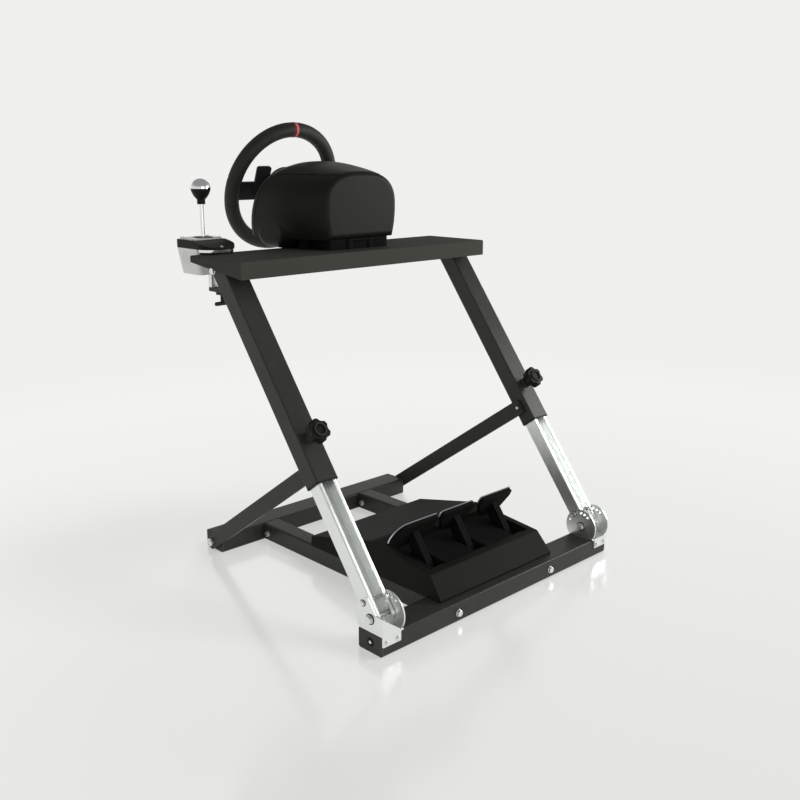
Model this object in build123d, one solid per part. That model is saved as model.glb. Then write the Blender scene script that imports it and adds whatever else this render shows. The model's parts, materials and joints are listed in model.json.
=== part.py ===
from build123d import *
import os
from math import atan2, cos, degrees, hypot, radians, sin

# Racing wheel stand: a floor frame of rectangular tube, two leaning silver legs, black sleeves that slide
# on them, a sheet-metal platform, and the wheel base, shifter and pedal set that are mounted on it.
# Millimetres. +Z is up and the floor is Z = 0. The driver sits on the -Y side and +X is the driver's right.
# The origin is under the middle of the nose tube, straight below the legs' pivots.

# Floor frame
TUBE_DEPTH = 60.0
TUBE_HEIGHT = 38.0
TUBE_WALL = 1.5
TUBE_CORNER = 4.0
CAP_LIP = 3.0
CAP_PLUG = 16.0
CAP_PLAY = 0.2
REAR_TUBE_Y = -564.0
RAIL_X = 140.0
RAIL_WIDTH = 40.0

# Legs, measured along the leg from its pivot
LEG_X = 303.0
LEG_LEAN = 36.8
PIVOT_ABOVE_TUBE = 24.0
LEG_WIDTH = 41.0
LEG_DEPTH = 31.0
LEG_WALL = 2.5
LEG_LIP = 8.0
LEG_LENGTH = 545.0

# Leg brackets
BRACKET_WALL = 3.0
BRACKET_RADIUS = 37.0
BRACKET_PLAY = 0.5
BRACKET_FOLD_HEIGHT = 34.0
BRACKET_TAB_DROP = 18.0
BRACKET_TAB_INSET = 6.0
BRACKET_STRIP_REAR = 22.0
BRACKET_TRIM = 1.0
ANGLE_HOLE_RADIUS = 30.0
ANGLE_HOLE_DIAMETER = 6.6
ANGLE_HOLE_STEP = 18.0
ANGLE_HOLES_AHEAD = 4
ANGLE_HOLES_BEHIND = 2
PIVOT_BOLT_DIAMETER = 10.0
LOCK_BOLT_DIAMETER = 6.4
BOLT_HOLE_PLAY = 0.1
BOLT_HEAD_SHARE = 0.64
BOLT_CORNER_SHARE = 0.9

# Sleeves that slide on the legs
SLEEVE_WALL = 2.0
SLEEVE_PLAY = 1.5
SLEEVE_CORNER = 3.0
SLEEVE_LOW = 252.0
BUSH_LENGTH = 58.0
BUSH_LIP = 3.0
BUSH_PLAY = 0.3
KNOB_UP_SLEEVE = 81.0
BRACE_UP_SLEEVE = 37.0

# Star knobs
KNOB_DIAMETER = 44.0
KNOB_LOBES = 6
KNOB_SCALLOP_RADIUS = 12.0
KNOB_SCALLOP_DEPTH = 3.5
KNOB_TIP_RADIUS = 2.5
KNOB_RIM_RADIUS = 2.0
KNOB_THICKNESS = 16.0
KNOB_NECK_DIAMETER = 19.0
KNOB_NECK_LENGTH = 12.0
KNOB_SCREW_DIAMETER = 10.0
KNOB_SCREW_REACH = 12.0
BOSS_DIAMETER = 22.0
BOSS_LENGTH = 10.0
RUNNING_PLAY = 0.05
FACE_PLAY = 0.5

# Braces between the sleeves and the rear tube
BRACE_WIDTH = 32.0
BRACE_THICKNESS = 6.0
BRACE_BACK = 3.0
BRACE_TO_SLEEVE = 1.0
BRACE_TO_TUBE = 2.0
BRACE_STUD_DIAMETER = 10.0
BRACE_FOOT_STUD_DIAMETER = 8.0
BRACE_FOOT_PLAY = 1.5
BRACE_EYE_OVERRUN = 1.0
BRACE_END = 8.0
BRACE_END_CORNER = 5.0
BRACE_CAP_DIAMETER = 15.0
BRACE_CAP_HEIGHT = 2.5
STUD_CAP_DIAMETER = 17.0
STUD_CAP_HEIGHT = 5.0

# Platform tray
PLATFORM_TOP = 643.0
PLATFORM_NOSE_Y = -337.0
PLATFORM_DRIVER_Y = -505.0
PLATFORM_SHEET = 3.0
NOSE_FLANGE = 33.0
DRIVER_FLANGE = 13.0

# Steering wheel, placed from the platform's driver edge and top
WHEEL_REACH = 139.0
WHEEL_UP = 117.0
WHEEL_TILT = 21.4
RIM_RADIUS = 131.0
RIM_GRIP_RADIUS = 16.0
SPOKE_WIDTH = 40.0
SPOKE_DROP = 6.0
SPOKE_PLATE = 6.0
SPOKE_BOSS_RADIUS = 46.0
SPOKE_FILLET = 14.0
HUB_RADIUS = 38.0
HUB_LENGTH = 34.0
HUB_FILLET = 6.0
HUB_CAP_RADIUS = 28.0
HUB_CAP_HEIGHT = 9.0
COLUMN_RADIUS = 20.0
COLUMN_LENGTH = 124.0
COLLAR_RADIUS = 36.0
COLLAR_FLARE = 14.0
COLLAR_GAP = 10.0
PADDLE_REACH = 92.0
PADDLE_HEIGHT = 46.0
PADDLE_THICKNESS = 5.0
PADDLE_BACK = 14.0
PADDLE_WIDTH = 36.0
PADDLE_ARM_WIDTH = 22.0
PADDLE_ROOT = 10.0
PADDLE_FILLET = 6.0

# Wheel base, its heights measured from the platform's top
BASE_LIFT = 21.0
BASE_WIDEST_UP = 85.0
BASE_LOW_SHARE = 0.9
BASE_ARCH_TURNS = (18.0, 36.0, 54.0, 72.0)
BASE_DRIVER_SECTION = (139.0, 172.0, 2.4)
BASE_SECTIONS = [(25.0, 134.0, 171.0, 2.45), (95.0, 115.0, 159.0, 2.55), (129.0, 92.0, 153.0, 2.6)]
BASE_NOSE_RADIUS = 12.0
BEZEL_BACK = 86.0
BEZEL_DEPTH = 10.0
BEZEL_GROOVE = 2.0
BEZEL_GROOVE_DEPTH = 3.0
CHIN_AHEAD = 11.0
CHIN_LENGTH = 104.0
CHIN_HEIGHT = 62.5
CHIN_LIFT = 0.5
CHIN_HALF_WIDTH = 131.0
CHIN_END_RADIUS = 18.0
PLINTH_GAP = 4.0
PLINTH_HALF_WIDTH = 84.0
PLINTH_LENGTH = 74.0
PLINTH_CORNER = 12.0
FOOT_STRAP = 4.0
FOOT_DIAMETER = 24.0
SIDE_FOOT = (93.0, 55.0)
NOSE_FOOT = (28.0, 111.0)

# Shifter
SHIFTER_FROM_EDGE = 58.0
SHIFTER_WIDTH = 78.0
SHIFTER_LENGTH = 79.0
SHIFTER_TO_PLATFORM = 3.0
SHIFTER_DEPTH = 42.0
SHIFTER_TAPER = 7.0
SHIFTER_WALL = 3.0
SHIFTER_CORNER = 8.0
FOOT_PLATE = 5.0
FOOT_PAD = 4.0
FOOT_PLATE_INSET = 1.0
FOOT_PAD_INSET = 3.0
BAND_HEIGHT = 16.0
BAND_OVERLAP = 31.0
BAND_NOSE_CORNER = 32.0
BAND_NOSE_BULGE = 1.5
BAND_LIP = 3.0
GATE_PLATE = 3.0
GATE_INSET = 4.0
GATE_WINDOW_X = 24.0
GATE_WINDOW_Y = 30.0
GATE_RIM = 3.5
LEVER_DIAMETER = 8.0
LEVER_PIVOT_DROP = 40.0
LEVER_LENGTH = 105.0
LEVER_EYE_RADIUS = 8.0
LEVER_EYE_LENGTH = 20.0
CRADLE_WIDTH = 42.0
CRADLE_LENGTH = 46.0
CRADLE_HEIGHT = 14.0
CRADLE_WINDOW_X = 22.0
CRADLE_WINDOW_Y = 32.0
CRADLE_PIN_DIAMETER = 8.0
LEVER_PIN_DIAMETER = 6.0
SHIFT_KNOB_RADIUS = 19.5
SHIFT_CONE_HEIGHT = 21.0
SHIFT_CONE_WAIST = 16.0
SHIFT_COLLAR_RADIUS = 8.0
SHIFT_COLLAR_HEIGHT = 9.0

# Shifter clamp
CLAMP_WIDTH = 26.0
CLAMP_STRAP = 4.0
CLAMP_REACH = 42.0
CLAMP_DROP = 66.0
CLAMP_JAW_HEIGHT = 8.0
CLAMP_BLOCK_HEIGHT = 5.0
CLAMP_SCREW_DIAMETER = 10.0
CLAMP_PAD_DIAMETER = 24.0
CLAMP_PAD_HEIGHT = 6.0
CLAMP_SCREW_TAIL = 18.0
T_BAR_LENGTH = 38.0
T_BAR_DIAMETER = 8.0

# Pedal set
PEDAL_SET_HALF_WIDTH = 163.0
PEDAL_SIDE_DRAFT = 8.0
PEDAL_HEEL_Y = -365.0
PEDAL_NOSE_Y = 10.0
PEDAL_HEEL_HEIGHT = 20.0
PEDAL_CREST_Y = -185.0
PEDAL_CREST_HEIGHT = 62.0
PEDAL_BROW_Y = -22.0
PEDAL_BROW_HEIGHT = 44.0
PEDAL_NOSE_LIP = 4.0
PEDAL_CREST_RADIUS = 30.0
PEDAL_BROW_RADIUS = 6.0
PEDAL_WELL_MARGIN = 20.0
PEDAL_WELL_DRIVER = 84.0
PEDAL_WELL_NOSE = 36.0
PEDAL_WELL_DEPTH = 6.0
PEDAL_SHAFT_Y = -72.0
PEDAL_SHAFT_UP = 20.0
PEDAL_SHAFT_DIAMETER = 10.0
PEDAL_ARM_THICKNESS = 16.0
PEDAL_EYE_RADIUS = 13.0
PEDAL_SLOT_MARGIN = 7.0
PEDAL_SLOT_FLOOR = 5.0
PEDAL_SLOT_DRIVER = 50.0
PEDAL_SLOT_NOSE = 25.0
PEDAL_PLATE_RISE = 69.0
PEDAL_PLATE_BEHIND = 46.0
PEDAL_PLATE_SLANT = 62.0
PEDAL_PLATE_HEIGHT = 56.0
PEDAL_PLATE_LOW_SHARE = 0.55
PEDAL_PLATE_CORNER = 5.0
PEDAL_PLATE_THICKNESS = 2.5
PEDAL_HEAD_THICKNESS = 7.0
PEDAL_HEAD_INSET = 1.5
PEDAL_ARM_HIGH = 8.0
PEDAL_ARM_LOW = 20.0
# Each pedal: side position, plate width, length of its upright sides, radius of its outer top corner
PEDALS = {
    "clutch": (-122.0, 96.0, 16.0, 5.0),
    "brake": (-6.0, 94.0, 16.0, 5.0),
    "throttle": (110.0, 116.0, 40.0, 34.0),
}

# Worked out from the sizes above
PIVOT_Z = TUBE_HEIGHT + PIVOT_ABOVE_TUBE
NOSE_HALF = LEG_X + LEG_WIDTH / 2 + BRACKET_PLAY + BRACKET_WALL
SLEEVE_WIDTH = LEG_WIDTH + 2 * (SLEEVE_PLAY + SLEEVE_WALL)
SLEEVE_DEPTH = LEG_DEPTH + 2 * (SLEEVE_PLAY + SLEEVE_WALL)
SLEEVE_INNER_X = LEG_X - SLEEVE_WIDTH / 2
SLEEVE_OUTER_X = LEG_X + SLEEVE_WIDTH / 2
BRACE_OUTER_X = SLEEVE_INNER_X - BRACE_TO_SLEEVE
BRACE_INNER_X = BRACE_OUTER_X - BRACE_THICKNESS
REAR_HALF = BRACE_INNER_X - BRACE_TO_TUBE
KNOB_S = SLEEVE_LOW + KNOB_UP_SLEEVE
BRACE_S = SLEEVE_LOW + BRACE_UP_SLEEVE
PLATFORM_HALF = SLEEVE_OUTER_X + PLATFORM_SHEET
PLATFORM_UNDERSIDE = PLATFORM_TOP - PLATFORM_SHEET
SHIFTER_X = PLATFORM_HALF - SHIFTER_FROM_EDGE
WHEEL_Y = PLATFORM_DRIVER_Y - WHEEL_REACH
WHEEL_Z = PLATFORM_TOP + WHEEL_UP
BASE_BOTTOM = PLATFORM_TOP + BASE_LIFT
BASE_WIDEST = PLATFORM_TOP + BASE_WIDEST_UP
CHIN_Y = PLATFORM_DRIVER_Y - CHIN_AHEAD
CHIN_Z = PLATFORM_TOP + CHIN_LIFT + CHIN_HEIGHT / 2
CHIN_NOSE_Y = CHIN_Y + CHIN_LENGTH / 2
SHIFTER_NOSE_Y = PLATFORM_DRIVER_Y - SHIFTER_TO_PLATFORM
SHIFTER_DRIVER_Y = SHIFTER_NOSE_Y - SHIFTER_LENGTH
SHIFTER_Y = (SHIFTER_NOSE_Y + SHIFTER_DRIVER_Y) / 2
BAND_BOTTOM = PLATFORM_TOP + FOOT_PAD + FOOT_PLATE
BAND_TOP = BAND_BOTTOM + BAND_HEIGHT
BAND_NOSE_Y = PLATFORM_DRIVER_Y + BAND_OVERLAP
WINDOW_NOSE_Y = SHIFTER_Y + GATE_WINDOW_Y / 2
GATE_NOSE_Y = WINDOW_NOSE_Y + GATE_RIM
GATE_TOP = BAND_TOP + GATE_PLATE
LEVER_PIVOT_Z = GATE_TOP - LEVER_PIVOT_DROP
CLAMP_JAW_TOP = PLATFORM_TOP - CLAMP_DROP
CLAMP_JAW_LOW = CLAMP_JAW_TOP - CLAMP_JAW_HEIGHT
CLAMP_SCREW_Y = SHIFTER_NOSE_Y + CLAMP_REACH / 2
PEDAL_SHAFT_Z = TUBE_HEIGHT + PEDAL_SHAFT_UP
PEDAL_SLANT = radians(PEDAL_PLATE_SLANT)
PEDAL_PLATE_Y = PEDAL_SHAFT_Y - PEDAL_PLATE_BEHIND
PEDAL_PLATE_Z = PEDAL_SHAFT_Z + PEDAL_PLATE_RISE

# The leg's own frame: x across, y towards the nose square to the leg, z up along the leg from its pivot.
LEAN = radians(LEG_LEAN)


def leg_frame(x):
    """The leg's frame placed at side position x."""
    return Plane(origin=(x, 0, PIVOT_Z), x_dir=(1, 0, 0), z_dir=(0, -sin(LEAN), cos(LEAN))).location


# The wheel's own frame: x to the driver's right, y up the wheel, z along the column to the driver.
TILT = radians(WHEEL_TILT)
WHEEL_FRAME = Plane(origin=(0, WHEEL_Y, WHEEL_Z), x_dir=(1, 0, 0), z_dir=(0, -cos(TILT), sin(TILT))).location

SIDES = {"right": 1, "left": -1}


def save(name, shape):
    """Write one piece to its own file."""
    export_step(shape, os.path.join("parts", name + ".step"))


def bar(x, y, z):
    """A box from its three (low, high) spans."""
    size = (x[1] - x[0], y[1] - y[0], z[1] - z[0])
    centre = ((x[0] + x[1]) / 2, (y[0] + y[1]) / 2, (z[0] + z[1]) / 2)
    return Pos(*centre) * Box(*size)


def rod_x(radius, x, y, z):
    """A round rod along X over the span x, centred on y and z."""
    return Pos((x[0] + x[1]) / 2, y, z) * Rot(0, 90, 0) * Cylinder(radius, x[1] - x[0])


def rod_y(radius, x, y, z):
    """A round rod along Y over the span y, centred on x and z."""
    return Pos(x, (y[0] + y[1]) / 2, z) * Rot(90, 0, 0) * Cylinder(radius, y[1] - y[0])


def rod_z(radius, x, y, z):
    """A round rod along Z over the span z, centred on x and y."""
    return Pos(x, y, (z[0] + z[1]) / 2) * Cylinder(radius, z[1] - z[0])


def side_profile(points, x):
    """A closed outline of (y, z) points, carried along X over the span x."""
    face = Plane.YZ * make_face(Polyline(*points, close=True))
    return Pos(x[0], 0, 0) * extrude(face, x[1] - x[0])


def tube_section(width, height, wall, corner):
    """The section of a rectangular tube with rounded corners."""
    inside = RectangleRounded(width - 2 * wall, height - 2 * wall, max(corner - wall, 0.5))
    return RectangleRounded(width, height, corner) - inside


def other_side(shape, sign):
    """The piece for the driver's right, or its mirror for the left."""
    return shape if sign > 0 else mirror(shape, about=Plane.YZ)


def pair(*shapes):
    """The pieces for the driver's right together with their mirrors for the left."""
    return Compound(children=[*shapes, *[mirror(shape, about=Plane.YZ) for shape in shapes]])


def cross_tube(half_length, y):
    """A tube along X, closed by the lips of its end caps."""
    section = tube_section(TUBE_DEPTH, TUBE_HEIGHT, TUBE_WALL, TUBE_CORNER)
    tube = extrude(Plane.YZ * section, half_length - CAP_LIP, both=True)
    return Pos(0, y, TUBE_HEIGHT / 2) * tube


def tube_cap(half_length, y):
    """The right-hand end cap of a cross tube: a lip flush with the tube and a plug inside it."""
    inset = 2 * (TUBE_WALL + CAP_PLAY)
    lip = extrude(Plane.YZ * RectangleRounded(TUBE_DEPTH, TUBE_HEIGHT, TUBE_CORNER), CAP_LIP)
    inside = RectangleRounded(TUBE_DEPTH - inset, TUBE_HEIGHT - inset, TUBE_CORNER / 2)
    plug = extrude(Plane.YZ * inside, -CAP_PLUG)
    return Pos(half_length - CAP_LIP, y, TUBE_HEIGHT / 2) * (lip + plug)


def rail():
    """The right-hand one of the two tubes that join the nose tube to the rear tube."""
    rear = REAR_TUBE_Y + TUBE_DEPTH / 2
    section = tube_section(RAIL_WIDTH, TUBE_HEIGHT, TUBE_WALL, TUBE_CORNER)
    tube = extrude(Plane.XZ * section, -(-TUBE_DEPTH / 2 - rear))
    return Pos(RAIL_X, rear, TUBE_HEIGHT / 2) * tube


def angle_hole(degrees_back):
    """Centre (y, z) of the angle hole that holds the leg at this lean."""
    turn = radians(degrees_back)
    return -ANGLE_HOLE_RADIUS * sin(turn), PIVOT_Z + ANGLE_HOLE_RADIUS * cos(turn)


def leg_bracket(sign):
    """A bracket of two round plates with angle holes, a base strip and a nose tab. On the driver's right the
    outer plate is plain, trimmed along the leg and folded into a sloped tab."""
    outside = NOSE_HALF
    inside = 2 * LEG_X - NOSE_HALF
    nose = TUBE_DEPTH / 2
    far = 2 * BRACKET_RADIUS
    across = (inside - BRACKET_WALL, outside + BRACKET_WALL)
    above_tube = bar(across, (-far, far), (TUBE_HEIGHT, PIVOT_Z + far))
    inner_plate = rod_x(BRACKET_RADIUS, (inside, inside + BRACKET_WALL), 0, PIVOT_Z) & above_tube
    outer_plate = rod_x(BRACKET_RADIUS, (outside - BRACKET_WALL, outside), 0, PIVOT_Z) & above_tube
    holed = across
    strip_top = TUBE_HEIGHT + BRACKET_WALL
    tab_low = TUBE_HEIGHT - BRACKET_TAB_DROP
    tab_high = strip_top
    if sign > 0:
        holed = (across[0], LEG_X)
        tab_high = TUBE_HEIGHT + BRACKET_FOLD_HEIGHT
        behind_fold = bar(across, (-far, nose + BRACKET_WALL), (TUBE_HEIGHT, tab_high))
        leg_side = LEG_DEPTH / 2 + BRACKET_TRIM
        behind_leg = leg_frame(LEG_X) * bar((-LEG_WIDTH, LEG_WIDTH), (-far, leg_side), (-far, far))
        outer_plate &= behind_leg + behind_fold
    base_strip = bar((inside, outside), (-BRACKET_STRIP_REAR, nose + BRACKET_WALL), (TUBE_HEIGHT, strip_top))
    tab_inside = inside + BRACKET_TAB_INSET
    tab_corners = [(tab_inside, tab_low), (outside, tab_low), (outside, tab_high), (tab_inside, strip_top)]
    tab_outline = make_face(Polyline(*tab_corners, close=True))
    nose_tab = Pos(0, nose + BRACKET_WALL, 0) * extrude(Plane.XZ * tab_outline, BRACKET_WALL)
    bracket = inner_plate + outer_plate + base_strip + nose_tab
    holes = [rod_x(PIVOT_BOLT_DIAMETER / 2 + BOLT_HOLE_PLAY, across, 0, PIVOT_Z)]
    holes.append(rod_x(ANGLE_HOLE_DIAMETER / 2, across, *angle_hole(LEG_LEAN)))
    for step in range(-ANGLE_HOLES_AHEAD, ANGLE_HOLES_BEHIND + 1):
        y, z = angle_hole(LEG_LEAN + step * ANGLE_HOLE_STEP)
        holes.append(rod_x(ANGLE_HOLE_DIAMETER / 2, holed, y, z))
    return other_side(bracket - holes, sign)


def leg_channel(sign):
    """A lipped channel, open towards the nose, with a round foot on its pivot."""
    inner = Rectangle(LEG_WIDTH - 2 * LEG_WALL, LEG_DEPTH - 2 * LEG_WALL)
    slot = Pos(0, LEG_DEPTH / 2) * Rectangle(LEG_WIDTH - 2 * LEG_LIP, LEG_DEPTH)
    section = RectangleRounded(LEG_WIDTH, LEG_DEPTH, LEG_WALL) - inner - slot
    foot = LEG_DEPTH / 2
    channel = Pos(0, 0, -foot) * extrude(section, LEG_LENGTH + foot)
    above_pivot = bar((-LEG_WIDTH, LEG_WIDTH), (-foot, foot), (0, LEG_LENGTH))
    round_foot = rod_x(foot, (-LEG_WIDTH, LEG_WIDTH), 0, 0)
    channel = channel & (above_pivot + round_foot)
    across = (-LEG_WIDTH, LEG_WIDTH)
    pivot_hole = rod_x(PIVOT_BOLT_DIAMETER / 2 + BOLT_HOLE_PLAY, across, 0, 0)
    lock_hole = rod_x(ANGLE_HOLE_DIAMETER / 2, across, 0, ANGLE_HOLE_RADIUS)
    return leg_frame(sign * LEG_X) * (channel - pivot_hole - lock_hole)


def hex_bolt(diameter, x, y, z):
    """A bolt along X whose hexagon head and nut close on the span x."""
    height = BOLT_HEAD_SHARE * diameter
    head = extrude(Plane.YZ * RegularPolygon(BOLT_CORNER_SHARE * diameter, 6), height)
    shank = rod_x(diameter / 2, x, y, z)
    return shank + Pos(x[1], y, z) * head + Pos(x[0] - height, y, z) * head


def leg_bolts():
    """The right-hand leg's pivot bolt, and the lock bolt through the angle hole in use."""
    span = (2 * LEG_X - NOSE_HALF, NOSE_HALF)
    pivot = hex_bolt(PIVOT_BOLT_DIAMETER, span, 0, PIVOT_Z)
    lock = hex_bolt(LOCK_BOLT_DIAMETER, span, *angle_hole(LEG_LEAN))
    return [pivot, lock]


def sleeve(sign):
    """A tube around the leg, cut level under the platform, with the knob's threaded boss on its nose face."""
    section = tube_section(SLEEVE_WIDTH, SLEEVE_DEPTH, SLEEVE_WALL, SLEEVE_CORNER)
    reach = (PLATFORM_TOP - PIVOT_Z) / cos(LEAN) + SLEEVE_DEPTH
    tube = Pos(0, 0, SLEEVE_LOW) * extrude(section, reach - SLEEVE_LOW)
    face = SLEEVE_DEPTH / 2
    boss = rod_y(BOSS_DIAMETER / 2, 0, (face - SLEEVE_WALL, face + BOSS_LENGTH), KNOB_S)
    screw_hole = rod_y(KNOB_SCREW_DIAMETER / 2 + RUNNING_PLAY, 0, (0, 2 * face + BOSS_LENGTH), KNOB_S)
    tube = leg_frame(sign * LEG_X) * (tube + boss - screw_hole)
    wide = 2 * NOSE_HALF
    above = bar((-wide, wide), (-2 * PLATFORM_TOP, PLATFORM_TOP), (PLATFORM_UNDERSIDE, 2 * PLATFORM_TOP))
    return tube - above


def guide_bush():
    """The plastic guide in the sleeve's lower end, with a lip under the tube."""
    inset = 2 * (SLEEVE_WALL + CAP_PLAY)
    hole = Rectangle(LEG_WIDTH + 2 * BUSH_PLAY, LEG_DEPTH + 2 * BUSH_PLAY)
    outside = RectangleRounded(SLEEVE_WIDTH - inset, SLEEVE_DEPTH - inset, SLEEVE_CORNER - SLEEVE_WALL)
    liner = extrude(outside - hole, BUSH_LENGTH)
    lip = extrude(RectangleRounded(SLEEVE_WIDTH, SLEEVE_DEPTH, SLEEVE_CORNER) - hole, -BUSH_LIP)
    return leg_frame(LEG_X) * Pos(0, 0, SLEEVE_LOW) * (liner + lip)


def star_knob(sign):
    """A star knob on its clamping screw, which reaches through the sleeve into the leg's slot."""
    foot = SLEEVE_DEPTH / 2 + BOSS_LENGTH + FACE_PLAY
    scallop_circle = KNOB_DIAMETER / 2 + KNOB_SCALLOP_RADIUS - KNOB_SCALLOP_DEPTH
    outline = Circle(KNOB_DIAMETER / 2)
    outline -= PolarLocations(scallop_circle, KNOB_LOBES) * Circle(KNOB_SCALLOP_RADIUS)
    outline = fillet(outline.vertices(), KNOB_TIP_RADIUS)
    head = extrude(outline, KNOB_THICKNESS)
    head = fillet(head.faces().sort_by(Axis.Z)[-1].edges(), KNOB_RIM_RADIUS)
    head = Rot(-90, 0, 0) * head
    neck = rod_y(KNOB_NECK_DIAMETER / 2, 0, (foot, foot + KNOB_NECK_LENGTH), KNOB_S)
    screw = rod_y(KNOB_SCREW_DIAMETER / 2, 0, (SLEEVE_DEPTH / 2 - KNOB_SCREW_REACH, foot), KNOB_S)
    knob = Pos(0, foot + KNOB_NECK_LENGTH, KNOB_S) * head + neck + screw
    return leg_frame(sign * LEG_X) * knob


def brace_ends():
    """The brace's upper pivot, a little behind the leg's line, and its foot eye, as (y, z) points."""
    upper_y = -BRACE_S * sin(LEAN) - BRACE_BACK * cos(LEAN)
    upper = (upper_y, PIVOT_Z + BRACE_S * cos(LEAN) - BRACE_BACK * sin(LEAN))
    foot = (REAR_TUBE_Y, TUBE_HEIGHT / 2)
    run = (foot[0] - upper[0], foot[1] - upper[1])
    stretch = 1 + BRACE_EYE_OVERRUN / hypot(*run)
    return upper, (upper[0] + run[0] * stretch, upper[1] + run[1] * stretch)


def brace(sign):
    """A flat bar, cut square at the sleeve's inner face, with a round eye at the rear tube's end."""
    upper, foot = brace_ends()
    span = (BRACE_INNER_X, BRACE_OUTER_X)
    length = hypot(foot[0] - upper[0], foot[1] - upper[1]) + BRACE_END
    fall = degrees(atan2(foot[1] - upper[1], foot[0] - upper[0]))
    flat = Box(BRACE_THICKNESS, length, BRACE_WIDTH, align=(Align.MIN, Align.MAX, Align.CENTER))
    cut_end = flat.edges().filter_by(Axis.X).group_by(Axis.Y)[0]
    flat = Pos(span[0], *foot) * Rot(fall, 0, 0) * fillet(cut_end, BRACE_END_CORNER)
    body = flat + rod_x(BRACE_WIDTH / 2, span, *foot)
    body -= rod_x(BRACE_STUD_DIAMETER / 2 + RUNNING_PLAY, span, *upper)
    body -= rod_x(BRACE_FOOT_STUD_DIAMETER / 2 + BRACE_FOOT_PLAY, span, *foot)
    return other_side(body, sign)


def brace_stud():
    """The stud on the sleeve's inner face that the brace turns on, with its cap nut."""
    upper = brace_ends()[0]
    cap_face = BRACE_INNER_X - FACE_PLAY
    stud = rod_x(BRACE_STUD_DIAMETER / 2, (cap_face, SLEEVE_INNER_X), *upper)
    cap = rod_x(BRACE_CAP_DIAMETER / 2, (cap_face - BRACE_CAP_HEIGHT, cap_face), *upper)
    return stud + cap


def brace_foot_stud():
    """The stud on the rear tube's end that the brace's foot eye hangs on, with its washer and cap nut."""
    foot = (REAR_TUBE_Y, TUBE_HEIGHT / 2)
    cap_face = BRACE_OUTER_X + FACE_PLAY
    stud = rod_x(BRACE_FOOT_STUD_DIAMETER / 2, (REAR_HALF, cap_face), *foot)
    cap = rod_x(STUD_CAP_DIAMETER / 2, (cap_face, cap_face + STUD_CAP_HEIGHT), *foot)
    washer = rod_x(STUD_CAP_DIAMETER / 2, (REAR_HALF, BRACE_INNER_X - FACE_PLAY), *foot)
    return stud + cap + washer


def platform():
    """A bent-sheet tray, open below: deep nose flange, side flanges that taper to the driver's edge."""
    sheet = PLATFORM_SHEET
    outer = [(PLATFORM_NOSE_Y, PLATFORM_TOP), (PLATFORM_DRIVER_Y, PLATFORM_TOP),
             (PLATFORM_DRIVER_Y, PLATFORM_TOP - DRIVER_FLANGE), (PLATFORM_NOSE_Y, PLATFORM_TOP - NOSE_FLANGE)]
    low = PLATFORM_TOP - 2 * NOSE_FLANGE
    inner = [(PLATFORM_NOSE_Y - sheet, PLATFORM_UNDERSIDE), (PLATFORM_DRIVER_Y + sheet, PLATFORM_UNDERSIDE),
             (PLATFORM_DRIVER_Y + sheet, low), (PLATFORM_NOSE_Y - sheet, low)]
    block = side_profile(outer, (-PLATFORM_HALF, PLATFORM_HALF))
    block = fillet(block.faces().sort_by(Axis.Z)[-1].edges(), sheet)
    hollow = side_profile(inner, (-PLATFORM_HALF + sheet, PLATFORM_HALF - sheet))
    return block - hollow


def wheel_rim():
    """The round grip ring of the wheel."""
    return WHEEL_FRAME * Torus(RIM_RADIUS, RIM_GRIP_RADIUS)


def wheel_spokes():
    """A flat three-spoke plate that meets the rim on both sides and below."""
    reach = RIM_RADIUS
    outline = Circle(SPOKE_BOSS_RADIUS)
    outline += Pos(0, -SPOKE_DROP) * Rectangle(2 * reach, SPOKE_WIDTH)
    outline += Pos(0, -reach / 2) * Rectangle(SPOKE_WIDTH, reach)
    inside_corners = outline.vertices().filter_by(lambda v: hypot(v.X, v.Y) < 0.7 * reach)
    outline = fillet(inside_corners, SPOKE_FILLET)
    outline -= Circle(HUB_RADIUS / 2 + CAP_PLAY)
    plate = extrude(outline, SPOKE_PLATE / 2, both=True)
    return WHEEL_FRAME * (plate - Torus(RIM_RADIUS, RIM_GRIP_RADIUS))


def wheel_hub():
    """The hub behind the spoke plate, its cap in front of the plate, and the column shaft into the base."""
    front = SPOKE_PLATE / 2
    hub = rod_z(HUB_RADIUS, 0, 0, (-front - HUB_LENGTH, -front))
    hub = fillet(hub.edges().group_by(Axis.Z)[0], HUB_FILLET)
    neck = rod_z(HUB_RADIUS / 2, 0, 0, (-front, front))
    cap = rod_z(HUB_CAP_RADIUS, 0, 0, (front, front + HUB_CAP_HEIGHT))
    cap = fillet(cap.edges().group_by(Axis.Z)[-1], HUB_CAP_HEIGHT / 2)
    shaft = rod_z(COLUMN_RADIUS, 0, 0, (-COLUMN_LENGTH, -front - HUB_LENGTH))
    return WHEEL_FRAME * (hub + neck + cap + shaft)


def paddle():
    """A shift paddle behind the spokes: a blade that rises from an arm on the hub."""
    back = -SPOKE_PLATE / 2 - PADDLE_BACK
    arm = Pos((HUB_RADIUS + PADDLE_REACH) / 2, 0) * Rectangle(PADDLE_REACH - HUB_RADIUS, PADDLE_ARM_WIDTH)
    blade_x = PADDLE_REACH - PADDLE_WIDTH / 2
    blade = Pos(blade_x, PADDLE_HEIGHT / 2) * Rectangle(PADDLE_WIDTH, PADDLE_HEIGHT + PADDLE_ARM_WIDTH)
    outline = fillet((arm + blade).vertices(), PADDLE_FILLET)
    outline += Pos(HUB_RADIUS, 0) * Rectangle(PADDLE_ROOT, PADDLE_ARM_WIDTH)
    plate = Pos(0, 0, back - PADDLE_THICKNESS) * extrude(outline, PADDLE_THICKNESS)
    hub = rod_z(HUB_RADIUS, 0, 0, (-2 * HUB_LENGTH, 0))
    return WHEEL_FRAME * (plate - hub)


def column_bore():
    """The round hole that the column shaft turns in."""
    return WHEEL_FRAME * rod_z(COLUMN_RADIUS + RUNNING_PLAY, 0, 0, (-COLUMN_LENGTH - COLLAR_GAP, 0))


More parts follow.
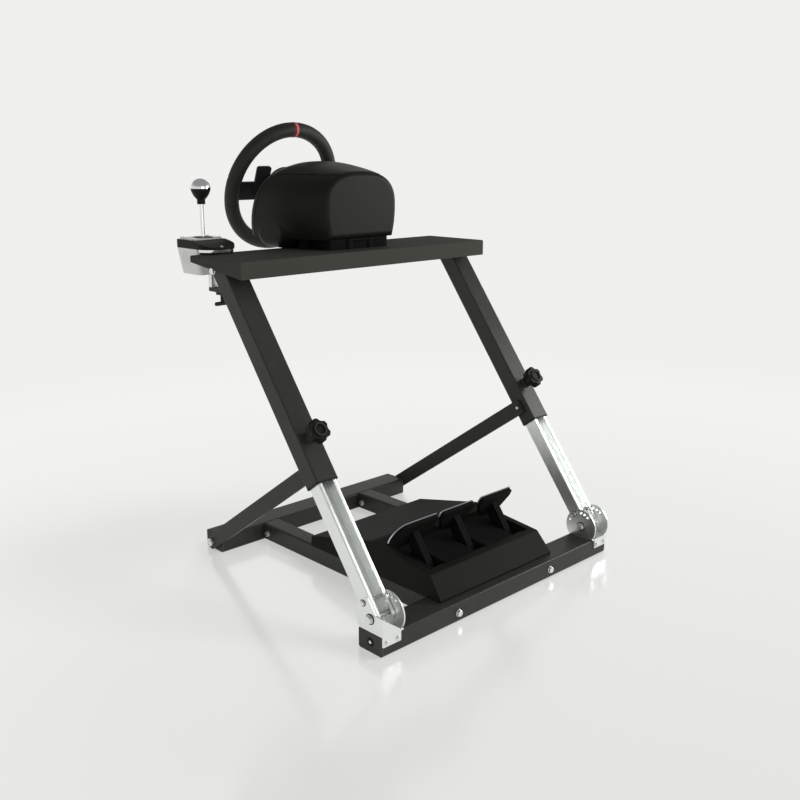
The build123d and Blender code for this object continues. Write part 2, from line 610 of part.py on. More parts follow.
def behind_wheel(back):
    """The plane parallel to the wheel this far behind its middle, as a rule from height to y."""
    return lambda z: WHEEL_Y + (back + (z - WHEEL_Z) * sin(TILT)) / cos(TILT)


def base_section(half, crown_up, power, place, shrink=0.0):
    """One closed section of the wheel base: a squarish arch that draws in to a flat bottom."""
    half = half - shrink
    rise = crown_up - BASE_WIDEST_UP - shrink
    low = BASE_LOW_SHARE * half
    bottom = BASE_BOTTOM + shrink
    right = [(low, bottom), ((3 * half + low) / 4, (BASE_WIDEST + bottom) / 2), (half, BASE_WIDEST)]
    for turn in BASE_ARCH_TURNS:
        across = half * cos(radians(turn)) ** (2 / power)
        right.append((across, BASE_WIDEST + rise * sin(radians(turn)) ** (2 / power)))
    left = [(-x, z) for x, z in reversed(right)]
    points = [(x, place(z), z) for x, z in [*right, (0, BASE_WIDEST + rise), *left]]
    return make_face([Spline(*points), Line(points[-1], points[0])])


def driver_section(back, shrink=0.0):
    """The section at the wheel base's driver end, on a plane parallel to the wheel."""
    half, crown_up, power = BASE_DRIVER_SECTION
    return base_section(half, crown_up, power, behind_wheel(back), shrink)


def base_housing():
    """The moulded wheel base: a lofted shell that narrows to the nose, with a rolled chin below the wheel."""
    sections = [driver_section(BEZEL_BACK + BEZEL_DEPTH + BEZEL_GROOVE)]
    for ahead, half, crown_up, power in BASE_SECTIONS:
        sections.append(base_section(half, crown_up, power, lambda z: PLATFORM_DRIVER_Y + ahead))
    shell = loft(sections)
    shell = fillet(shell.faces().sort_by(Axis.Y)[-1].edges(), BASE_NOSE_RADIUS)
    roll = Plane.YZ * Pos(CHIN_Y, CHIN_Z) * SlotOverall(CHIN_LENGTH, CHIN_HEIGHT)
    chin = extrude(roll, CHIN_HALF_WIDTH, both=True)
    ends = chin.faces().sort_by(Axis.X)
    chin = fillet(ends[0].edges() + ends[-1].edges(), CHIN_END_RADIUS)
    return shell + chin - column_bore()


def base_plinth():
    """The mounting block under the wheel base, and the thin straps that carry its four round feet."""
    block_y = CHIN_NOSE_Y + PLINTH_GAP + PLINTH_LENGTH / 2
    block = extrude(RectangleRounded(2 * PLINTH_HALF_WIDTH, PLINTH_LENGTH, PLINTH_CORNER), BASE_LIFT)
    plinth = Pos(0, block_y, PLATFORM_TOP) * block
    for x, ahead in (SIDE_FOOT, NOSE_FOOT):
        y = PLATFORM_DRIVER_Y + ahead
        radius = FOOT_DIAMETER / 2
        strap = bar((-x, x), (y - radius, y + radius), (BASE_BOTTOM - FOOT_STRAP, BASE_BOTTOM))
        plinth += strap
        for sign in SIDES.values():
            plinth += rod_z(radius, sign * x, y, (PLATFORM_TOP, BASE_BOTTOM))
    return plinth


def base_bezel(housing):
    """The ring that closes the wheel base towards the driver, with the flared collar around the column."""
    groove_back = BEZEL_BACK + BEZEL_DEPTH
    ring = loft([driver_section(BEZEL_BACK, BEZEL_GROOVE), driver_section(groove_back)])
    groove = loft([driver_section(groove_back, BEZEL_GROOVE_DEPTH),
                   driver_section(groove_back + BEZEL_GROOVE, BEZEL_GROOVE_DEPTH)])
    front = -SPOKE_PLATE / 2 - HUB_LENGTH - COLLAR_GAP
    collar = rod_z(COLLAR_RADIUS, 0, 0, (-BEZEL_BACK - BEZEL_DEPTH / 2, front))
    flare = Pos(0, 0, -BEZEL_BACK) * Cone(COLLAR_RADIUS + COLLAR_FLARE, COLLAR_RADIUS, COLLAR_FLARE,
                                          align=(Align.CENTER, Align.CENTER, Align.MIN))
    return ring + groove + WHEEL_FRAME * (collar + flare) - housing - column_bore()


def shifter_block(inset):
    """The shifter box's tapered shape, or the same shape this far inside its walls and floor."""
    def level(shrink, z):
        width = SHIFTER_WIDTH - 2 * shrink
        length = SHIFTER_LENGTH - 2 * shrink
        return Pos(SHIFTER_X, SHIFTER_Y, z) * RectangleRounded(width, length, SHIFTER_CORNER - inset)
    bottom = PLATFORM_TOP - SHIFTER_DEPTH + inset
    return loft([level(SHIFTER_TAPER + inset, bottom), level(inset, BAND_BOTTOM)])


def shifter_body():
    """The tapered shifter box in front of the platform's edge, hollow and open on top."""
    pins = rod_y(CRADLE_PIN_DIAMETER / 2 + RUNNING_PLAY, SHIFTER_X,
                 (SHIFTER_DRIVER_Y, SHIFTER_NOSE_Y), LEVER_PIVOT_Z)
    return shifter_block(0) - shifter_block(SHIFTER_WALL) - pins


def band_outline(inset):
    """The band's plan: square at the driver's end, round at the end that lies on the platform."""
    width = SHIFTER_WIDTH - 2 * inset
    length = SHIFTER_LENGTH + SHIFTER_TO_PLATFORM + BAND_OVERLAP - 2 * inset
    plan = Pos(SHIFTER_X, SHIFTER_DRIVER_Y + inset + length / 2) * Rectangle(width, length)
    ends = plan.vertices().group_by(Axis.Y)
    plan = fillet(ends[-1], BAND_NOSE_CORNER - inset)
    return fillet(plan.vertices().group_by(Axis.Y)[0], SHIFTER_CORNER)


def lever_window(low, high):
    """The window that the lever swings in."""
    opening = RectangleRounded(GATE_WINDOW_X, GATE_WINDOW_Y, LEVER_DIAMETER / 2)
    return Pos(SHIFTER_X, SHIFTER_Y, low) * extrude(opening, high - low)


def shifter_band():
    """The dark band around the top of the shifter, which slopes from the gate to its end on the platform."""
    lip_z = BAND_BOTTOM + BAND_LIP
    bulge = ((GATE_NOSE_Y + BAND_NOSE_Y) / 2, (BAND_TOP + lip_z) / 2 + BAND_NOSE_BULGE)
    edge = Polyline((BAND_NOSE_Y, lip_z), (BAND_NOSE_Y, BAND_BOTTOM), (SHIFTER_DRIVER_Y, BAND_BOTTOM),
                    (SHIFTER_DRIVER_Y, BAND_TOP), (GATE_NOSE_Y, BAND_TOP))
    curve = ThreePointArc((GATE_NOSE_Y, BAND_TOP), bulge, (BAND_NOSE_Y, lip_z))
    side = extrude(Plane.YZ * make_face(edge + curve), SHIFTER_WIDTH / 2, both=True)
    band = Pos(0, 0, BAND_BOTTOM) * extrude(band_outline(0), BAND_HEIGHT)
    band &= Pos(SHIFTER_X, 0, 0) * side
    half = SHIFTER_WIDTH / 2 - 2 * SHIFTER_WALL
    well_y = (SHIFTER_DRIVER_Y + 2 * SHIFTER_WALL, WINDOW_NOSE_Y)
    return band - bar((SHIFTER_X - half, SHIFTER_X + half), well_y, (BAND_BOTTOM, BAND_TOP))


def foot_layer(inset, low, high):
    """A flat layer between the band and the platform, this far inside the band's outline."""
    layer = Pos(0, 0, low) * extrude(band_outline(inset), high - low)
    return layer & bar((0, 2 * SHIFTER_X), (PLATFORM_DRIVER_Y, 0), (low, high))


def gate_plate():
    """The light plate on top of the band, with the lever's window."""
    driver_y = SHIFTER_DRIVER_Y + GATE_INSET
    plan = RectangleRounded(SHIFTER_WIDTH - 2 * GATE_INSET, GATE_NOSE_Y - driver_y, SHIFTER_CORNER)
    plate = Pos(SHIFTER_X, (driver_y + GATE_NOSE_Y) / 2, BAND_TOP) * extrude(plan, GATE_PLATE)
    return plate - lever_window(BAND_TOP, GATE_TOP)


def shift_cradle():
    """The rocking frame inside the shifter: side pins along Y in the body, and the lever's pin across it."""
    centre = Pos(SHIFTER_X, SHIFTER_Y, LEVER_PIVOT_Z)
    frame = centre * Box(CRADLE_WIDTH, CRADLE_LENGTH, CRADLE_HEIGHT)
    frame -= centre * Box(CRADLE_WINDOW_X, CRADLE_WINDOW_Y, CRADLE_HEIGHT)
    pins = rod_y(CRADLE_PIN_DIAMETER / 2, SHIFTER_X,
                 (SHIFTER_DRIVER_Y + SHIFTER_TAPER, SHIFTER_NOSE_Y - SHIFTER_TAPER), LEVER_PIVOT_Z)
    pins -= centre * Box(CRADLE_WINDOW_X, CRADLE_WINDOW_Y, CRADLE_HEIGHT)
    half = CRADLE_WINDOW_X / 2
    lever_pin = rod_x(LEVER_PIN_DIAMETER / 2, (SHIFTER_X - half, SHIFTER_X + half), SHIFTER_Y, LEVER_PIVOT_Z)
    return frame + pins + lever_pin


def shift_lever():
    """The thin lever with the eye that turns on the cradle's pin."""
    half = LEVER_EYE_LENGTH / 2
    across = (SHIFTER_X - half, SHIFTER_X + half)
    eye = rod_x(LEVER_EYE_RADIUS, across, SHIFTER_Y, LEVER_PIVOT_Z)
    shaft = rod_z(LEVER_DIAMETER / 2, SHIFTER_X, SHIFTER_Y, (LEVER_PIVOT_Z, LEVER_PIVOT_Z + LEVER_LENGTH))
    bore = rod_x(LEVER_PIN_DIAMETER / 2 + RUNNING_PLAY, across, SHIFTER_Y, LEVER_PIVOT_Z)
    return eye + shaft - bore


def shift_knob_parts():
    """The knob: a dark collar and cone, and a bright half-ball on top."""
    base = LEVER_PIVOT_Z + LEVER_LENGTH
    cone_low = base + SHIFT_COLLAR_HEIGHT
    cone_high = cone_low + SHIFT_CONE_HEIGHT
    edge = Polyline((SHIFT_KNOB_RADIUS, cone_high), (0, cone_high), (0, base), (SHIFT_COLLAR_RADIUS, base),
                    (SHIFT_COLLAR_RADIUS, cone_low))
    waist = (SHIFT_CONE_WAIST, (cone_low + cone_high) / 2)
    flank = ThreePointArc((SHIFT_COLLAR_RADIUS, cone_low), waist, (SHIFT_KNOB_RADIUS, cone_high))
    cone = revolve(Plane.XZ * make_face(edge + flank), Axis.Z)
    ball = Pos(0, 0, cone_high) * Sphere(SHIFT_KNOB_RADIUS)
    ball &= bar((-100, 100), (-100, 100), (cone_high, cone_high + 100))
    place = Pos(SHIFTER_X, SHIFTER_Y, 0)
    return place * cone, place * ball


def shifter_clamp():
    """The strap that comes down from the shifter behind the platform's edge."""
    half = CLAMP_WIDTH / 2
    root = SHIFTER_NOSE_Y - SHIFTER_TAPER
    top = PLATFORM_TOP - DRIVER_FLANGE - FACE_PLAY
    span = (SHIFTER_X - half, SHIFTER_X + half)
    strap = bar(span, (root, SHIFTER_NOSE_Y + CLAMP_STRAP), (CLAMP_JAW_TOP, top))
    return strap - shifter_block(0)


def clamp_jaw():
    """The jaw at the strap's foot that reaches under the platform, with its threaded boss."""
    half = CLAMP_WIDTH / 2
    root = SHIFTER_NOSE_Y - SHIFTER_TAPER
    span = (SHIFTER_X - half, SHIFTER_X + half)
    jaw = bar(span, (root, SHIFTER_NOSE_Y + CLAMP_REACH), (CLAMP_JAW_LOW, CLAMP_JAW_TOP))
    jaw += rod_z(half, SHIFTER_X, CLAMP_SCREW_Y, (CLAMP_JAW_LOW - CLAMP_BLOCK_HEIGHT, CLAMP_JAW_LOW))
    bore = rod_z(CLAMP_SCREW_DIAMETER / 2 + RUNNING_PLAY, SHIFTER_X, CLAMP_SCREW_Y,
                 (CLAMP_JAW_LOW - 2 * CLAMP_BLOCK_HEIGHT, PLATFORM_TOP))
    return jaw - bore


def clamp_screw():
    """The clamp's screw with the pad that presses under the platform and its T-handle."""
    low = CLAMP_JAW_LOW - CLAMP_BLOCK_HEIGHT - CLAMP_SCREW_TAIL
    pad_low = PLATFORM_UNDERSIDE - CLAMP_PAD_HEIGHT
    screw = rod_z(CLAMP_SCREW_DIAMETER / 2, SHIFTER_X, CLAMP_SCREW_Y, (low, pad_low))
    pad = rod_z(CLAMP_PAD_DIAMETER / 2, SHIFTER_X, CLAMP_SCREW_Y, (pad_low, PLATFORM_UNDERSIDE))
    half = T_BAR_LENGTH / 2
    t_bar = rod_x(T_BAR_DIAMETER / 2, (SHIFTER_X - half, SHIFTER_X + half), CLAMP_SCREW_Y, low)
    return screw + pad + t_bar


def pedal_roof(y):
    """The height of the pedal box's top between its crest and its brow."""
    fall = (PEDAL_CREST_HEIGHT - PEDAL_BROW_HEIGHT) / (PEDAL_BROW_Y - PEDAL_CREST_Y)
    return TUBE_HEIGHT + PEDAL_BROW_HEIGHT + (PEDAL_BROW_Y - y) * fall


def pedal_housing():
    """The pedal box on the rails: heel ramp, rounded crest, sunken pedal well, sloped nose and arm slots."""
    floor = TUBE_HEIGHT
    half = PEDAL_SET_HALF_WIDTH
    outline = Plane.YZ * make_face(Polyline(
        (PEDAL_HEEL_Y, floor), (PEDAL_NOSE_Y, floor), (PEDAL_NOSE_Y, floor + PEDAL_NOSE_LIP),
        (PEDAL_BROW_Y, floor + PEDAL_BROW_HEIGHT), (PEDAL_CREST_Y, floor + PEDAL_CREST_HEIGHT),
        (PEDAL_HEEL_Y, floor + PEDAL_HEEL_HEIGHT), close=True))
    box = extrude(outline, half, both=True)
    crest = box.edges().filter_by(Axis.X).sort_by(Axis.Z)
    box = fillet(crest[-1], PEDAL_CREST_RADIUS)
    brow = box.edges().filter_by(Axis.X).sort_by(lambda e: abs(e.center().Y - PEDAL_BROW_Y) - e.center().Z)
    box = fillet(brow[0], PEDAL_BROW_RADIUS)
    roof = floor + PEDAL_CREST_HEIGHT
    drafted = Polyline((-half, floor), (half, floor), (half - PEDAL_SIDE_DRAFT, roof),
                       (-half + PEDAL_SIDE_DRAFT, roof), close=True)
    box &= Pos(0, PEDAL_NOSE_Y, 0) * extrude(Plane.XZ * make_face(drafted), PEDAL_NOSE_Y - PEDAL_HEEL_Y)
    well_y = (PEDAL_SHAFT_Y - PEDAL_WELL_DRIVER, PEDAL_SHAFT_Y + PEDAL_WELL_NOSE)
    well_half = half - PEDAL_WELL_MARGIN
    well = [(y, pedal_roof(y) - PEDAL_WELL_DEPTH) for y in well_y]
    box -= side_profile([*well, (well_y[1], 2 * roof), (well_y[0], 2 * roof)], (-well_half, well_half))
    slot_y = (PEDAL_SHAFT_Y - PEDAL_SLOT_DRIVER, PEDAL_SHAFT_Y + PEDAL_SLOT_NOSE)
    slot_half = PEDAL_ARM_THICKNESS / 2 + PEDAL_SLOT_MARGIN
    for x, _, _, _ in PEDALS.values():
        box -= bar((x - slot_half, x + slot_half), slot_y, (floor + PEDAL_SLOT_FLOOR, roof))
    reach = half - 2 * PEDAL_SIDE_DRAFT
    return box - rod_x(PEDAL_SHAFT_DIAMETER / 2 + RUNNING_PLAY, (-reach, reach), PEDAL_SHAFT_Y, PEDAL_SHAFT_Z)


def pedal_shaft():
    """The shaft through the pedal box that the three arms turn on."""
    reach = PEDAL_SET_HALF_WIDTH - 2 * PEDAL_SIDE_DRAFT
    return rod_x(PEDAL_SHAFT_DIAMETER / 2, (-reach, reach), PEDAL_SHAFT_Y, PEDAL_SHAFT_Z)


def plate_frame(x):
    """The pedal plate's frame: x across, y up the plate, z out of its face towards the driver."""
    origin = (x, PEDAL_PLATE_Y, PEDAL_PLATE_Z)
    return Plane(origin=origin, x_dir=(1, 0, 0), z_dir=(0, -sin(PEDAL_SLANT), cos(PEDAL_SLANT))).location


def plate_outline(width, upright, outer_corner, inset):
    """A pedal plate's outline: full width at the top, upright sides, then drawn in to its lower edge."""
    half = width / 2 - inset
    top = PEDAL_PLATE_HEIGHT / 2 - inset
    low_half = PEDAL_PLATE_LOW_SHARE * half
    points = [(half, top), (half, top - upright), (low_half, -top),
              (-low_half, -top), (-half, top - upright), (-half, top)]
    outline = make_face(Polyline(*points, close=True))
    outline = fillet(outline.vertices().sort_by_distance((half, top, 0))[0], outer_corner)
    others = outline.vertices().sort_by_distance((-half, top, 0))
    return fillet(others[:2], PEDAL_PLATE_CORNER)


def head_point(up):
    """A point (y, z) on the back of the pedal's head, this far up the plate."""
    y = PEDAL_PLATE_Y + up * cos(PEDAL_SLANT) + PEDAL_HEAD_THICKNESS * sin(PEDAL_SLANT)
    return y, PEDAL_PLATE_Z + up * sin(PEDAL_SLANT) - PEDAL_HEAD_THICKNESS * cos(PEDAL_SLANT)


def pedal_arm(x, width, upright, outer_corner):
    """A web that leans back from the shaft, and the moulded head that backs the metal plate."""
    high = head_point(PEDAL_ARM_HIGH)
    low = head_point(-PEDAL_ARM_LOW)
    rise = ((high[0] + low[0]) / 2 - PEDAL_SHAFT_Y, (high[1] + low[1]) / 2 - PEDAL_SHAFT_Z)
    side_y = PEDAL_EYE_RADIUS * rise[1] / hypot(*rise)
    side_z = -PEDAL_EYE_RADIUS * rise[0] / hypot(*rise)
    web = [(PEDAL_SHAFT_Y - side_y, PEDAL_SHAFT_Z - side_z), (PEDAL_SHAFT_Y + side_y, PEDAL_SHAFT_Z + side_z),
           high, low]
    half = PEDAL_ARM_THICKNESS / 2
    across = (x - half, x + half)
    arm = side_profile(web, across)
    arm += rod_x(PEDAL_EYE_RADIUS, across, PEDAL_SHAFT_Y, PEDAL_SHAFT_Z)
    outline = plate_outline(width, upright, outer_corner, PEDAL_HEAD_INSET)
    arm += plate_frame(x) * extrude(outline, -PEDAL_HEAD_THICKNESS)
    return arm - rod_x(PEDAL_SHAFT_DIAMETER / 2 + RUNNING_PLAY, across, PEDAL_SHAFT_Y, PEDAL_SHAFT_Z)


def pedal_plate(x, width, upright, outer_corner):
    """The thin metal plate on the face of the pedal's head."""
    return plate_frame(x) * extrude(plate_outline(width, upright, outer_corner, 0), PEDAL_PLATE_THICKNESS)


os.makedirs("parts", exist_ok=True)

save("nose_tube", cross_tube(NOSE_HALF, 0))
save("rear_tube", cross_tube(REAR_HALF, REAR_TUBE_Y))
for side, hand in SIDES.items():
    save("leg_bracket_" + side, leg_bracket(hand))
    save("leg_" + side, leg_channel(hand))
    save("sleeve_" + side, sleeve(hand))
    save("star_knob_" + side, star_knob(hand))
    save("brace_" + side, brace(hand))

save("rails", pair(rail()))
save("tube_caps", pair(tube_cap(NOSE_HALF, 0), tube_cap(REAR_HALF, REAR_TUBE_Y)))
save("leg_bolts", pair(*leg_bolts()))
save("guide_bushes", pair(guide_bush()))
save("brace_studs", pair(brace_stud()))
save("brace_foot_studs", pair(brace_foot_stud()))

save("platform", platform())
save("wheel_rim", wheel_rim())
save("wheel_spokes", wheel_spokes())
save("wheel_hub", wheel_hub())
save("shift_paddles", pair(paddle()))

housing = base_housing()
save("base_housing", housing)
save("base_plinth", base_plinth())
save("base_bezel", base_bezel(housing))

save("shifter_body", shifter_body())
save("shifter_band", shifter_band())
save("shifter_foot_plate", foot_layer(FOOT_PLATE_INSET, PLATFORM_TOP + FOOT_PAD, BAND_BOTTOM))
save("shifter_foot_pad", foot_layer(FOOT_PAD_INSET, PLATFORM_TOP, PLATFORM_TOP + FOOT_PAD))
save("gate_plate", gate_plate())
save("shift_cradle", shift_cradle())
save("shift_lever", shift_lever())
knob_cone, knob_ball = shift_knob_parts()
save("shift_knob_cone", knob_cone)
save("shift_knob_ball", knob_ball)
save("shifter_clamp", shifter_clamp())
save("clamp_jaw", clamp_jaw())
save("clamp_screw", clamp_screw())

save("pedal_housing", pedal_housing())
save("pedal_shaft", pedal_shaft())
for name, sizes in PEDALS.items():
    save(name + "_arm", pedal_arm(*sizes))
    save(name + "_plate", pedal_plate(*sizes))
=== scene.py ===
# %% [markdown]
# # A racing wheel stand, dressed for a studio picture
#
# The stand is a steel floor frame with two leaning legs. Black sleeves slide on the silver legs and carry a
# folded sheet platform with a wheel base, and a gear shifter is clamped to the platform's edge. A pedal box
# sits on the floor rails. Its rigid pieces come in as solids. This lesson gives each a finish and adds the
# small things that solids leave out: fasteners, stitching, threads, pads and seams.

# %% Load the frame
import json
import bmesh
import bpy
import numpy as np
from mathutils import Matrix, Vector


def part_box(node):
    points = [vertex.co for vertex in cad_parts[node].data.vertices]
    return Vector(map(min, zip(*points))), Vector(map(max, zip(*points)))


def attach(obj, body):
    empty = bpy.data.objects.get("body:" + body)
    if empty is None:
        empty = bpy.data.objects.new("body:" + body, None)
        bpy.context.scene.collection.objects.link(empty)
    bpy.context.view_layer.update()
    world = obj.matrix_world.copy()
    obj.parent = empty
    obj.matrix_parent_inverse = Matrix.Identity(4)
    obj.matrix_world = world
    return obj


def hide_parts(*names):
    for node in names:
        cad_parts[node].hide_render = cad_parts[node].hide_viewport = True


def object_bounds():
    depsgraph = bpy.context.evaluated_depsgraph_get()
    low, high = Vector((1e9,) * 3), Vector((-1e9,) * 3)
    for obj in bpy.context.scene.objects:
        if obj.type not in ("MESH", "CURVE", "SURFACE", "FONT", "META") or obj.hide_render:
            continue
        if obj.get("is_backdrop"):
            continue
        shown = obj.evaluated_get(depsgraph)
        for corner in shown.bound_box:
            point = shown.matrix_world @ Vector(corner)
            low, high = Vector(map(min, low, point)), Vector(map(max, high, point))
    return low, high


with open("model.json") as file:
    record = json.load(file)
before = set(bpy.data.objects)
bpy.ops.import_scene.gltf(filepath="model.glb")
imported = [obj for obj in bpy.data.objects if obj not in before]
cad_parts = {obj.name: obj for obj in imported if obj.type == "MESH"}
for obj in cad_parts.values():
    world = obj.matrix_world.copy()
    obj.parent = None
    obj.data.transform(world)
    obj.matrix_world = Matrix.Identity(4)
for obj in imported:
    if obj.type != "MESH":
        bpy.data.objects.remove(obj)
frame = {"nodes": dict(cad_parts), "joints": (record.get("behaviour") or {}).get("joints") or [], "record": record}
nodes = frame["nodes"]
joints = {joint["name"]: joint for joint in frame["joints"]}
cad_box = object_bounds()

# %% [markdown]
# Places are read from the frame, never typed twice. The slide joint gives the direction of the legs, and the
# steering joint the wheel's middle and column. A solid's corners say how far it reaches in any direction,
# and a ray shot at it says where a head would sit.

# %% Directions and places
MM = 0.001
RIGHT = np.array([1.0, 0.0, 0.0])
NOSE = np.array([0.0, 1.0, 0.0])
UP = np.array([0.0, 0.0, 1.0])
SIDES = (("right", 1.0), ("left", -1.0))
PEDALS = ("clutch", "brake", "throttle")
leg_up = np.array(joints["height_slide"]["axis"])
leg_out = np.cross(leg_up, RIGHT)
wheel_middle = np.array(joints["steering"]["pos_m"])
wheel_axis = np.array(joints["steering"]["axis"])
wheel_top = np.cross(wheel_axis, RIGHT)
lean = float(np.arctan2(-leg_up[1], leg_up[2]))
print("lean of the legs", round(np.degrees(lean), 1))


def span(node):
    """The lowest and highest corner of a solid, as two arrays."""
    low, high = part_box(node)
    return np.array(low), np.array(high)


def corners(node):
    """All corner points of a solid, as rows."""
    mesh = nodes[node].data
    flat = np.empty(len(mesh.vertices) * 3)
    mesh.vertices.foreach_get("co", flat)
    return flat.reshape(-1, 3)


def reach(node, direction, origin=(0.0, 0.0, 0.0)):
    """How far a solid reaches from an origin along a direction."""
    return float(((corners(node) - origin) @ direction).max())


def meet(node, start, way):
    """Where a line from a start first meets a solid, and the solid's outward direction there."""
    hit, place, normal, _ = nodes[node].ray_cast(tuple(start), tuple(way))
    assert hit, node
    return np.array(place), np.array(normal)


# %% [markdown]
# A finish is a small graph of shader nodes. It could be wired by hand, but as arithmetic it stays readable:
# `1 - mask` adds a Math node, and `mask * 0.2 + 0.4` adds two. All other nodes come from one method.


# %% Shader arithmetic
class Wire:
    """One socket of a material's graph. Sums and products of wires and numbers add Math nodes."""

    def __init__(self, tree, socket=None):
        self.tree = tree
        self.socket = socket

    def node(self, kind, settings=None, inputs=None, out=0):
        """Add a node of a kind, set it up, feed its inputs, and return one of its outputs."""
        made = self.tree.nodes.new("ShaderNode" + kind)
        for name, value in (settings or {}).items():
            setattr(made, name, value)
        for key, value in (inputs or {}).items():
            if isinstance(value, Wire):
                self.tree.links.new(value.socket, made.inputs[key])
            else:
                made.inputs[key].default_value = value
        return Wire(self.tree, made.outputs[out])

    def maths(self, operation, *values):
        return self.node("Math", {"operation": operation}, dict(enumerate(values)))

    def __add__(self, other):
        return self.maths("ADD", self, other)

    def __sub__(self, other):
        return self.maths("SUBTRACT", self, other)

    def __rsub__(self, other):
        return self.maths("SUBTRACT", other, self)

    def __mul__(self, other):
        return self.maths("MULTIPLY", self, other)

    def __lt__(self, other):
        return self.maths("LESS_THAN", self, other)

    def __gt__(self, other):
        return self.maths("GREATER_THAN", self, other)

    def __abs__(self):
        return self.maths("ABSOLUTE", self)

    __radd__ = __add__
    __rmul__ = __mul__

    def most(self, other):
        """The larger of two values."""
        return self.maths("MAXIMUM", self, other)

    def ramp(self, low, high):
        """This value carried from low..high to 0..1, and held at both ends."""
        return self.node("MapRange", {"clamp": True}, {"Value": self, "From Min": low, "From Max": high})

    def tint(self, dark, light):
        """A colour between dark and light, chosen by this value. Each may be numbers or a wire."""
        ends = [end if isinstance(end, Wire) else (*end, 1.0) for end in (dark, light)]
        return self.node("Mix", {"data_type": "RGBA"}, {"Factor": self, 6: ends[0], 7: ends[1]}, out=2)

    def noise(self, scale, detail=3.0, rough=0.55):
        """Cloudy variation from 0 to 1 over this place, with about scale clouds to a metre."""
        inputs = {"Vector": self, "Scale": scale, "Detail": detail, "Roughness": rough}
        return self.node("TexNoise", None, inputs)

    def cells(self, scale, feature="F1"):
        """Distance to the nearest of many scattered points, or to the border between them."""
        return self.node("TexVoronoi", {"feature": feature}, {"Vector": self, "Scale": scale}, out="Distance")

    def moved(self, turn=(0, 0, 0), stretch=(1, 1, 1)):
        """This place turned and stretched."""
        inputs = {"Vector": self, "Rotation": turn, "Scale": stretch}
        return self.node("Mapping", {"vector_type": "POINT"}, inputs)

    def axis(self, name):
        """One component of this place."""
        return self.node("SeparateXYZ", None, {"Vector": self}, out=name)

    def bump(self, distance, strength=1.0):
        """A surface normal pushed by this height, in metres of distance."""
        inputs = {"Height": self, "Distance": distance, "Strength": strength}
        return self.node("Bump", None, inputs, out="Normal")


def finish(name, build, **fixed):
    """A material whose Principled shader takes fixed values, and what build makes of Object coordinates."""
    material = bpy.data.materials.new(name)
    material.use_nodes = True
    tree = material.node_tree
    shader = tree.nodes["Principled BSDF"]
    place = Wire(tree).node("TexCoord", out="Object")
    for socket, value in {**fixed, **build(place)}.items():
        key = socket.replace("_", " ")
        if isinstance(value, Wire):
            tree.links.new(value.socket, shader.inputs[key])
        else:
            shader.inputs[key].default_value = value
    print("finish", name, "nodes", len(tree.nodes))
    return material


# %% [markdown]
# The frame is powder coated: a satin black skin, a trace warm, with a faint orange-peel ripple. One flat
# black would do from afar, but long faces look dead in it, so broad clouds vary the gloss. The ripple is far
# finer than any mesh, so it is bump.


# %% Powder coat
def powder_coat(place):
    """Satin black: clouds of gloss, a fine ripple and a trace of dust."""
    clouds = place.noise(9.0)
    ripple = place.noise(1400.0, detail=1.0)
    dust = place.noise(60.0, detail=6.0).ramp(0.45, 0.8)
    return {
        "Base_Color": (clouds * 0.7 + dust * 0.3).tint((0.030, 0.030, 0.026), (0.048, 0.048, 0.042)),
        "Roughness": clouds * 0.10 + 0.27,
        "Normal": ripple.bump(0.04 * MM),
    }


black_paint = finish("black_powder_coat", powder_coat, Specular_IOR_Level=0.18)

# %% [markdown]
# The platform's sheet has a matt wrinkle coat, which scatters light and stays evenly grey from every side.
# Small cells in the bump, a high roughness and little specular give that with no change to the solid.


# %% Wrinkle coat
def wrinkle_coat(place):
    """Matt black: the same paint with a fine wrinkle that takes the gloss away."""
    clouds = place.noise(9.0)
    wrinkle = place.cells(900.0).noise(3.0)
    return {
        "Base_Color": (clouds * 0.6 + wrinkle * 0.4).tint((0.040, 0.040, 0.034), (0.066, 0.066, 0.058)),
        "Roughness": wrinkle * 0.15 + 0.70,
        "Normal": wrinkle.bump(0.06 * MM, 0.6),
    }


matt_paint = finish("black_wrinkle_coat", wrinkle_coat, Specular_IOR_Level=0.08)

# %% [markdown]
# The legs and their brackets are bright galvanised steel. Rolled channel has fine lines along its length, so
# the noise is turned to the lean of the legs and pulled out along them, with larger pale flowers of zinc
# over it. Noise on Object coordinates needs no map of the faces.


# %% Galvanised steel
def galvanised(place):
    """Pale steel: long rolling lines along the leg, zinc flowers and dull patches."""
    lines = place.moved(turn=(-lean, 0, 0), stretch=(260.0, 260.0, 3.0)).noise(1.0, detail=4.0)
    flowers = place.cells(120.0).noise(4.0)
    patches = place.noise(22.0)
    shade = lines * 0.45 + flowers * 0.35 + patches * 0.2
    return {
        "Base_Color": shade.tint((0.76, 0.79, 0.77), (0.95, 0.965, 0.95)),
        "Roughness": lines * 0.12 + patches * 0.10 + 0.20,
        "Normal": lines.bump(0.04 * MM),
    }


silver_steel = finish("galvanised_steel", galvanised, Metallic=0.9)

# %% [markdown]
# Bolts, nuts and screws are zinc plated: brighter and smoother than the legs, with a faint bloom. Heads are
# a few millimetres across, so one fine noise is enough. Other small things get by with one noise too, so a
# function makes them.


# %% Zinc plate
def toned(value, dark, light, spread, least):
    """Colour from dark to light and roughness from the least up, both chosen by one value."""
    return {"Base_Color": value.tint(dark, light), "Roughness": value * spread + least}


def mottled(scale, *tones, detail=3.0):
    """A finish of one noise. Its tones are dark, light, spread and least."""
    return lambda place: toned(place.noise(scale, detail), *tones)


bloom = mottled(240.0, (0.70, 0.71, 0.71), (0.90, 0.90, 0.88), 0.15, 0.22)
zinc = finish("zinc_plate", bloom, Metallic=0.9)

# %% [markdown]
# Moulded black plastic covers the wheel base and the knobs. A spark-eroded mould leaves a fine even grain.
# It is drawn with small cells in the bump, because they lie side by side as the grain does.


